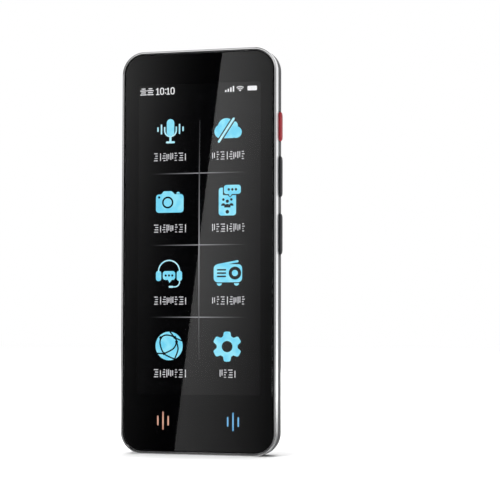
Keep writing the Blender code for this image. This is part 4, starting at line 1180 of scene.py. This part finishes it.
# The rear shell: one satin grey moulding with a fine grain, its long sides well rounded
# and its ends nearly square. It is open for the keys, the card tray, the charging socket
# and a microphone at either end, and its back is sunk for the camera panel.
SIDE_ROUND = 5.0
END_ROUND = 0.8
LIP_ROUND = 0.12
SHELL_FRONT = SHELL[1][0]
SHELL_INSIDE = BACK - WALL
PANEL = sides_of("camera_panel")
PANEL_WIDE = PANEL[0][1] - PANEL[0][0]
PANEL_LOW = PANEL[2][0]
PANEL_CORNER = 4.7
PANEL_FRONT = PANEL[1][0]
PANEL_CLEAR = 0.3
FLOOR = PANEL_FRONT - PANEL_CLEAR
PAD_FRONT = FLOOR - 1.0
PAD_LAP = 1.5
HOLE_CLEAR = 0.6
SOCKET_CLEAR = 0.66
SOUND_WIDE = 1.0
LENS = sides_of("camera_window")
LENS_UP = middle_of("camera_window")[2]
LENS_WIDE = LENS[0][1] - LENS[0][0]
FLASH = sides_of("flash_window")
FLASH_UP = middle_of("flash_window")[2]


def drawn_in(depth, back, radius):
    """How far an edge of that radius, ending at back, has drawn in at a depth."""
    rise = max(0.0, depth - (back - radius))
    return radius - math.sqrt(max(0.0, radius**2 - rise**2))


def recess(margin, low, high, steps=12):
    """The panel's outline grown by a margin: square at the top, round at the bottom."""
    wide = PANEL_WIDE + 2 * margin
    radius = PANEL_CORNER + margin
    left = arc(-wide / 2 + radius, low + radius, radius, 2, 3, steps)
    right = arc(wide / 2 - radius, low + radius, radius, 3, 4, steps)
    return [(wide / 2, high), (-wide / 2, high), *left, *right]


def solid(mesh):
    """A bare object for cutting with."""
    bmesh.ops.recalc_face_normals(mesh, faces=mesh.faces[:])
    data = bpy.data.meshes.new("solid")
    mesh.to_mesh(data)
    mesh.free()
    made = bpy.data.objects.new("solid", data)
    scene.collection.objects.link(made)
    return made


def carve(mesh, shapes, operation="DIFFERENCE"):
    """Takes (outline, low, high, plane) plates out of a mesh, or joins them to it."""
    target = solid(mesh)
    tools = []
    for outline, low, high, plane in shapes:
        plate = bmesh.new()
        slab(plate, outline, low, high, (), plane)
        tools.append(solid(plate))
        change = target.modifiers.new("carve", "BOOLEAN")
        change.operation = operation
        change.object = tools[-1]
    bpy.context.view_layer.update()
    carved = target.evaluated_get(bpy.context.evaluated_depsgraph_get()).to_mesh()
    mesh = bmesh.new()
    mesh.from_mesh(carved)
    for done in (target, *tools):
        bpy.data.objects.remove(done, do_unlink=True)
    return mesh


side_levels = [BACK - SIDE_ROUND * (1 - x) for x, _ in arc(0, 0, 1, 0, 1, 12)]
end_levels = [BACK - END_ROUND * (1 - x) for x, _ in arc(0, 0, 1, 0, 1, 6)][1:-1]
rings = []
for level in sorted({*side_levels, *end_levels}, reverse=True):
    inset = drawn_in(level, BACK, SIDE_ROUND)
    rings.append((casing(inset, drawn_in(level, BACK, END_ROUND)), level))
for inset, rise in ((0, LIP_ROUND), (0.04, 0.04), (LIP_ROUND, 0), (WALL, 0)):
    rings.append((casing(inset, inset), SHELL_FRONT + rise))
radius = SIDE_ROUND - WALL
for x, _ in reversed(arc(0, 0, 1, 0, 1, 6)):
    level = SHELL_INSIDE - radius * (1 - x)
    inset = WALL + drawn_in(level, SHELL_INSIDE, radius)
    rings.append((casing(inset, WALL + drawn_in(level, SHELL_INSIDE, END_ROUND)), level))
mesh = bmesh.new()
loft(mesh, rings)
pad_low, pad_high = PANEL_LOW - PAD_LAP, HIGH - WALL / 2
pad = box(0, (pad_low + pad_high) / 2, PANEL_WIDE + 2 * PAD_LAP, pad_high - pad_low)
mesh = carve(mesh, [(pad, PAD_FRONT, BACK - WALL / 2, facing)], "UNION")

left_wall, right_wall = -WIDE / 2 + WALL, WIDE / 2 - WALL
sunk = recess(PANEL_CLEAR, PANEL_LOW - PANEL_CLEAR, HIGH + 1)
shapes = [(sunk, FLOOR, BACK + 1, facing)]
wells = (rounded(0, SPEAKER_UP, 17.5, 13.5, 1.0), circle(0, LENS_UP, 6.8), circle(0, FLASH_UP, 3.0, 32))
shapes += [(well, PAD_FRONT - 1, FLOOR + 1, facing) for well in wells]
for up, long in caps:
    hole = pill(KEY_DEPTH, up, KEY_WIDE + HOLE_CLEAR, long + HOLE_CLEAR)
    shapes.append((hole, right_wall - 1, WIDE / 2 + 1, sideways))
low, high = sides_of("sim_tray")[2]
hole = pill(tray_depth, tray_up, HEAD_WIDE + HOLE_CLEAR, high - low + HOLE_CLEAR)
shapes.append((hole, -WIDE / 2 - 1, left_wall + 1, sideways))
socket_wide, socket_thick = [high - low + SOCKET_CLEAR for low, high in sides_of("usb_shell")[:2]]
mouth = pill(0, middle_of("usb_shell")[1], socket_wide, socket_thick)
shapes.append((mouth, -1, WALL + 1, upright))
for end, low, high in (("bottom", -1, WALL + 1), ("top", HIGH - WALL - 1, HIGH + 1)):
    x, depth, _ = middle_of("microphone_" + end)
    shapes.append((circle(x, depth, SOUND_WIDE, 24), low, high, upright))
mesh = carve(mesh, shapes)
piece("rear_shell_moulded", mesh, grey, ["rear_shell"])

# The speaker's guard: thin blackened steel, punched with round holes in close rows and
# held by its rim behind the panel's slots.
HOLE_STEP = 0.62
HOLE_WIDE = 0.4
ROW_SHARE = 0.866
HOLES_ACROSS = 26
PUNCHED = (7.95, 5.95)
black_steel = satin("black_steel", (0.003,) * 3, (0.008,) * 3, (0.5, 3.0), 0.5, 0.15, gleam=0.1)
holes = []
rows = int(12.0 / (HOLE_STEP * ROW_SHARE))
for number in range(rows):
    z = SPEAKER_UP + (number - (rows - 1) / 2) * HOLE_STEP * ROW_SHARE
    shift = 0.5 * (number % 2) - (HOLES_ACROSS - 1) / 2
    for column in range(HOLES_ACROSS):
        x = (column + shift) * HOLE_STEP
        if abs(x) < PUNCHED[0] and abs(z - SPEAKER_UP) < PUNCHED[1]:
            holes.append(circle(x, z, HOLE_WIDE, 6))
mesh = bmesh.new()
slab(mesh, rounded(0, SPEAKER_UP, 16.9, 12.9, 1.0), *sides_of("speaker_mesh")[1], holes)
piece("speaker_guard", mesh, black_steel, ["speaker_mesh"])

# The camera panel: a darker satin plate let into the back, flush with it and open to the
# top end. Six slots let the sound out, and two openings frame the lens and the flash.
SLOT_WIDE = 1.44
SLOT_STEP = 3.05
SLOT_LONG = (12.9, 10.707, 8.45, 8.45, 10.707, 12.9)
FLASH_OPENING = (7.8, 4.6)
SEAM = 0.1
CHARCOAL = ((0.036, 0.036, 0.039), (0.045, 0.045, 0.049))
grains = {"broad": (14.0, 3.0), "fine": (0.07, 4.0)}
charcoal = satin(
    "dark_panel", *CHARCOAL, rough=0.42, uneven=0.16, relief=0.004, gleam=0.08, **grains
)
openings = [
    pill((step - 2.5) * SLOT_STEP, SPEAKER_UP, SLOT_WIDE, long, 0, 10)
    for step, long in enumerate(SLOT_LONG)
]
openings.append(circle(0, LENS_UP, LENS_WIDE + 0.6, 64))
openings.append(pill(0, FLASH_UP, *FLASH_OPENING, 0, 12))
mesh = bmesh.new()
slab(mesh, recess(-SEAM, PANEL_LOW + SEAM, HIGH, 14), PANEL_FRONT, BACK, openings)
cutter = arc(BACK - END_ROUND, HIGH - END_ROUND, END_ROUND, 0, 1, 8)
cutter += [(BACK - END_ROUND, HIGH + 1), (BACK + 1, HIGH + 1), (BACK + 1, HIGH - END_ROUND)]
mesh = carve(mesh, [(cutter, -PANEL_WIDE / 2 - 1, PANEL_WIDE / 2 + 1, sideways)])
piece("camera_panel_moulded", mesh, charcoal, ["camera_panel"], sharp=8)

# The panel's seal: the same black sealant as round the glass, laid in the seam along its
# sides and foot, a little below the surface.
SEAL_TOP = HIGH - 0.6
mesh = bmesh.new()
outside = recess(0.28, PANEL_LOW - 0.28, SEAL_TOP)
inside = recess(0.02 - SEAM, PANEL_LOW + SEAM - 0.02, SEAL_TOP)
bent = [*outside[1:], outside[0], inside[0], *reversed(inside[1:])]
slab(mesh, bent, FLOOR + 0.01, BACK - 0.3)
piece("panel_seal", mesh, bead)

# The lens cover: a black ring turned with a sloping lip, holding a bloomed clear disc. It
# closes a cone cut with fine black steps, which leads in to the camera's front element.
DISC_WIDE = 1.2
CONE_WIDE = 3.25
CONE_MOUTH = 3.15
CONE_THROAT = 1.5
FRONT_WIDE = 1.49
FRONT_CROWN = (1.48, 0.4)
INK_BLACK = ((0.003, 0.003, 0.004), (0.006, 0.006, 0.007))
gloss_black = satin("gloss_black", *INK_BLACK, (1.5,), 0.16, 0.06, gleam=0.1)
inmost, top = LENS[1]
half = LENS_WIDE / 2


def turned(mesh, profile, closed=False, sides=64):
    """Turns a (radius, depth) profile about the lens's middle."""
    rings = [(circle(0, LENS_UP, 2 * radius, sides), depth) for radius, depth in profile]
    loft(mesh, rings, closed=closed)


mesh = bmesh.new()
profile = [(half, inmost), (half, top - 0.3), (half - 0.09, top - 0.09), (half - 0.3, top)]
profile += [(half - 0.75, top), (half - 0.85, top - 0.08), (half - 1.15, top - 0.34)]
profile += [(half - 1.15, top - 0.6), (half - 1.5, top - 0.6), (half - 1.5, inmost)]
turned(mesh, profile, closed=True)
piece("lens_ring", mesh, gloss_black, ["camera_window"])

mesh = bmesh.new()
disc = half - DISC_WIDE
turned(mesh, [(disc, top - 0.58), (disc, top - 0.38), (disc - 0.05, top - 0.33)])
piece("lens_disc", mesh, clear_sheet("bloomed_glass", 1.09, 3.0, 0.2))

stepped, place = finish("turned_black")
steps = place.ripples((0, BACK * MM + FACE, LENS_UP * MM), 900.0)
# The steps are darker in their grooves and lighter on their crests, a painted shade that follows the
# relief.
place.coat(steps.mix((0.001, 0.001, 0.002), (0.003, 0.003, 0.005)), 0.3, steps * 0.03, gleam=0.06)
mesh = bmesh.new()
profile = [(CONE_WIDE, top - 0.62), (CONE_MOUTH, top - 0.62), (CONE_THROAT, top - 0.78)]
profile += [(CONE_THROAT, inmost + 0.02), (CONE_WIDE, inmost + 0.02)]
turned(mesh, profile, closed=True)
piece("lens_cone", mesh, stepped)

coated, place = finish("coated_lens")
# The front element's colour is bluer and lighter where it is seen aslant: a painted sheen, standing for
# its coating's blue reflection.
grazing_sheen = place.node("ShaderNodeLayerWeight", {}, {"Blend": 0.35}, "Facing")
place.coat(grazing_sheen.mix((0.002, 0.003, 0.008), (0.006, 0.012, 0.03)), 0.06, gleam=0.08)
mesh = bmesh.new()
profile = [(FRONT_WIDE, inmost + 0.01)]
for radius, rise in arc(0, 0, FRONT_CROWN, 0, 1, 10)[:-1]:
    profile.append((radius, inmost + 0.03 + rise))
turned(mesh, profile, sides=48)
piece("lens_front", mesh, coated)

# The lens's own card, the last sheet of the studio: small and bright, low before the lens
# and square to it, it draws a glint on the lip and the turned steps.
CARD_HALF = 0.02
middle = Vector((0, 0, LENS_UP * MM))
at = middle + Vector((-0.045, 0.13, -0.075))
out = (at - middle).normalized()
across = out.cross(Vector((0, 0, 1))).normalized() * CARD_HALF
rise = across.cross(out).normalized() * CARD_HALF
flat = [at - across - rise, at + across - rise, at + across + rise, at - across + rise]
reflector("lens_card", flat, glowing("bright_card", 0.9, 1.0, 120.0))

# The flash: two warm emitters under a cream phosphor pill with fine ribs. The pill sits
# in a raised black rim, and a round stem behind it reaches the lamp.
FLASH_PILL = (7.2, 4.0)
EMITTER_OUT = 1.4
LAMP_STEM = 2.4
cream, place = finish("cream_phosphor")
from_emitter = abs(abs(place.along(0)) - EMITTER_OUT).share(0.2, 1.5)
clouded = (place.along(0) + place.grain(1.1) * 3.0).share(-1.5, 4.5)
warm = clouded.mix((0.4, 0.26, 0.17), (0.38, 0.38, 0.16))
ribs = place.stripes("Z", 900.0)
place.coat(from_emitter.mix(warm, (0.4, 0.37, 0.28)), 0.24, ribs * 0.02, lacquer=0.4)
inner, outer = FLASH[1]
mesh = bmesh.new()
profile = [(0.45, PANEL_FRONT), *arc(0.7, outer - 0.3, (0.25, 0.22), 2, 1, 4), (1.5, outer - 0.04)]
button(mesh, 0, FLASH_UP, *FLASH_PILL, profile)
loft(mesh, [(circle(0, FLASH_UP, LAMP_STEM, 24), level) for level in (inner, PANEL_FRONT)])
piece("flash_cover", mesh, cream, ["flash_window"])
mesh = bmesh.new()
profile = [(0, PANEL_FRONT), (0, outer - 0.08), (0.08, outer), (0.32, outer)]
profile += [(0.42, outer - 0.1), (0.42, PANEL_FRONT)]
button(mesh, 0, FLASH_UP, *FLASH_PILL, profile, closed=True)
piece("flash_rim", mesh, gloss_black)
dress(cream, "flash_led")

low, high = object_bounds()
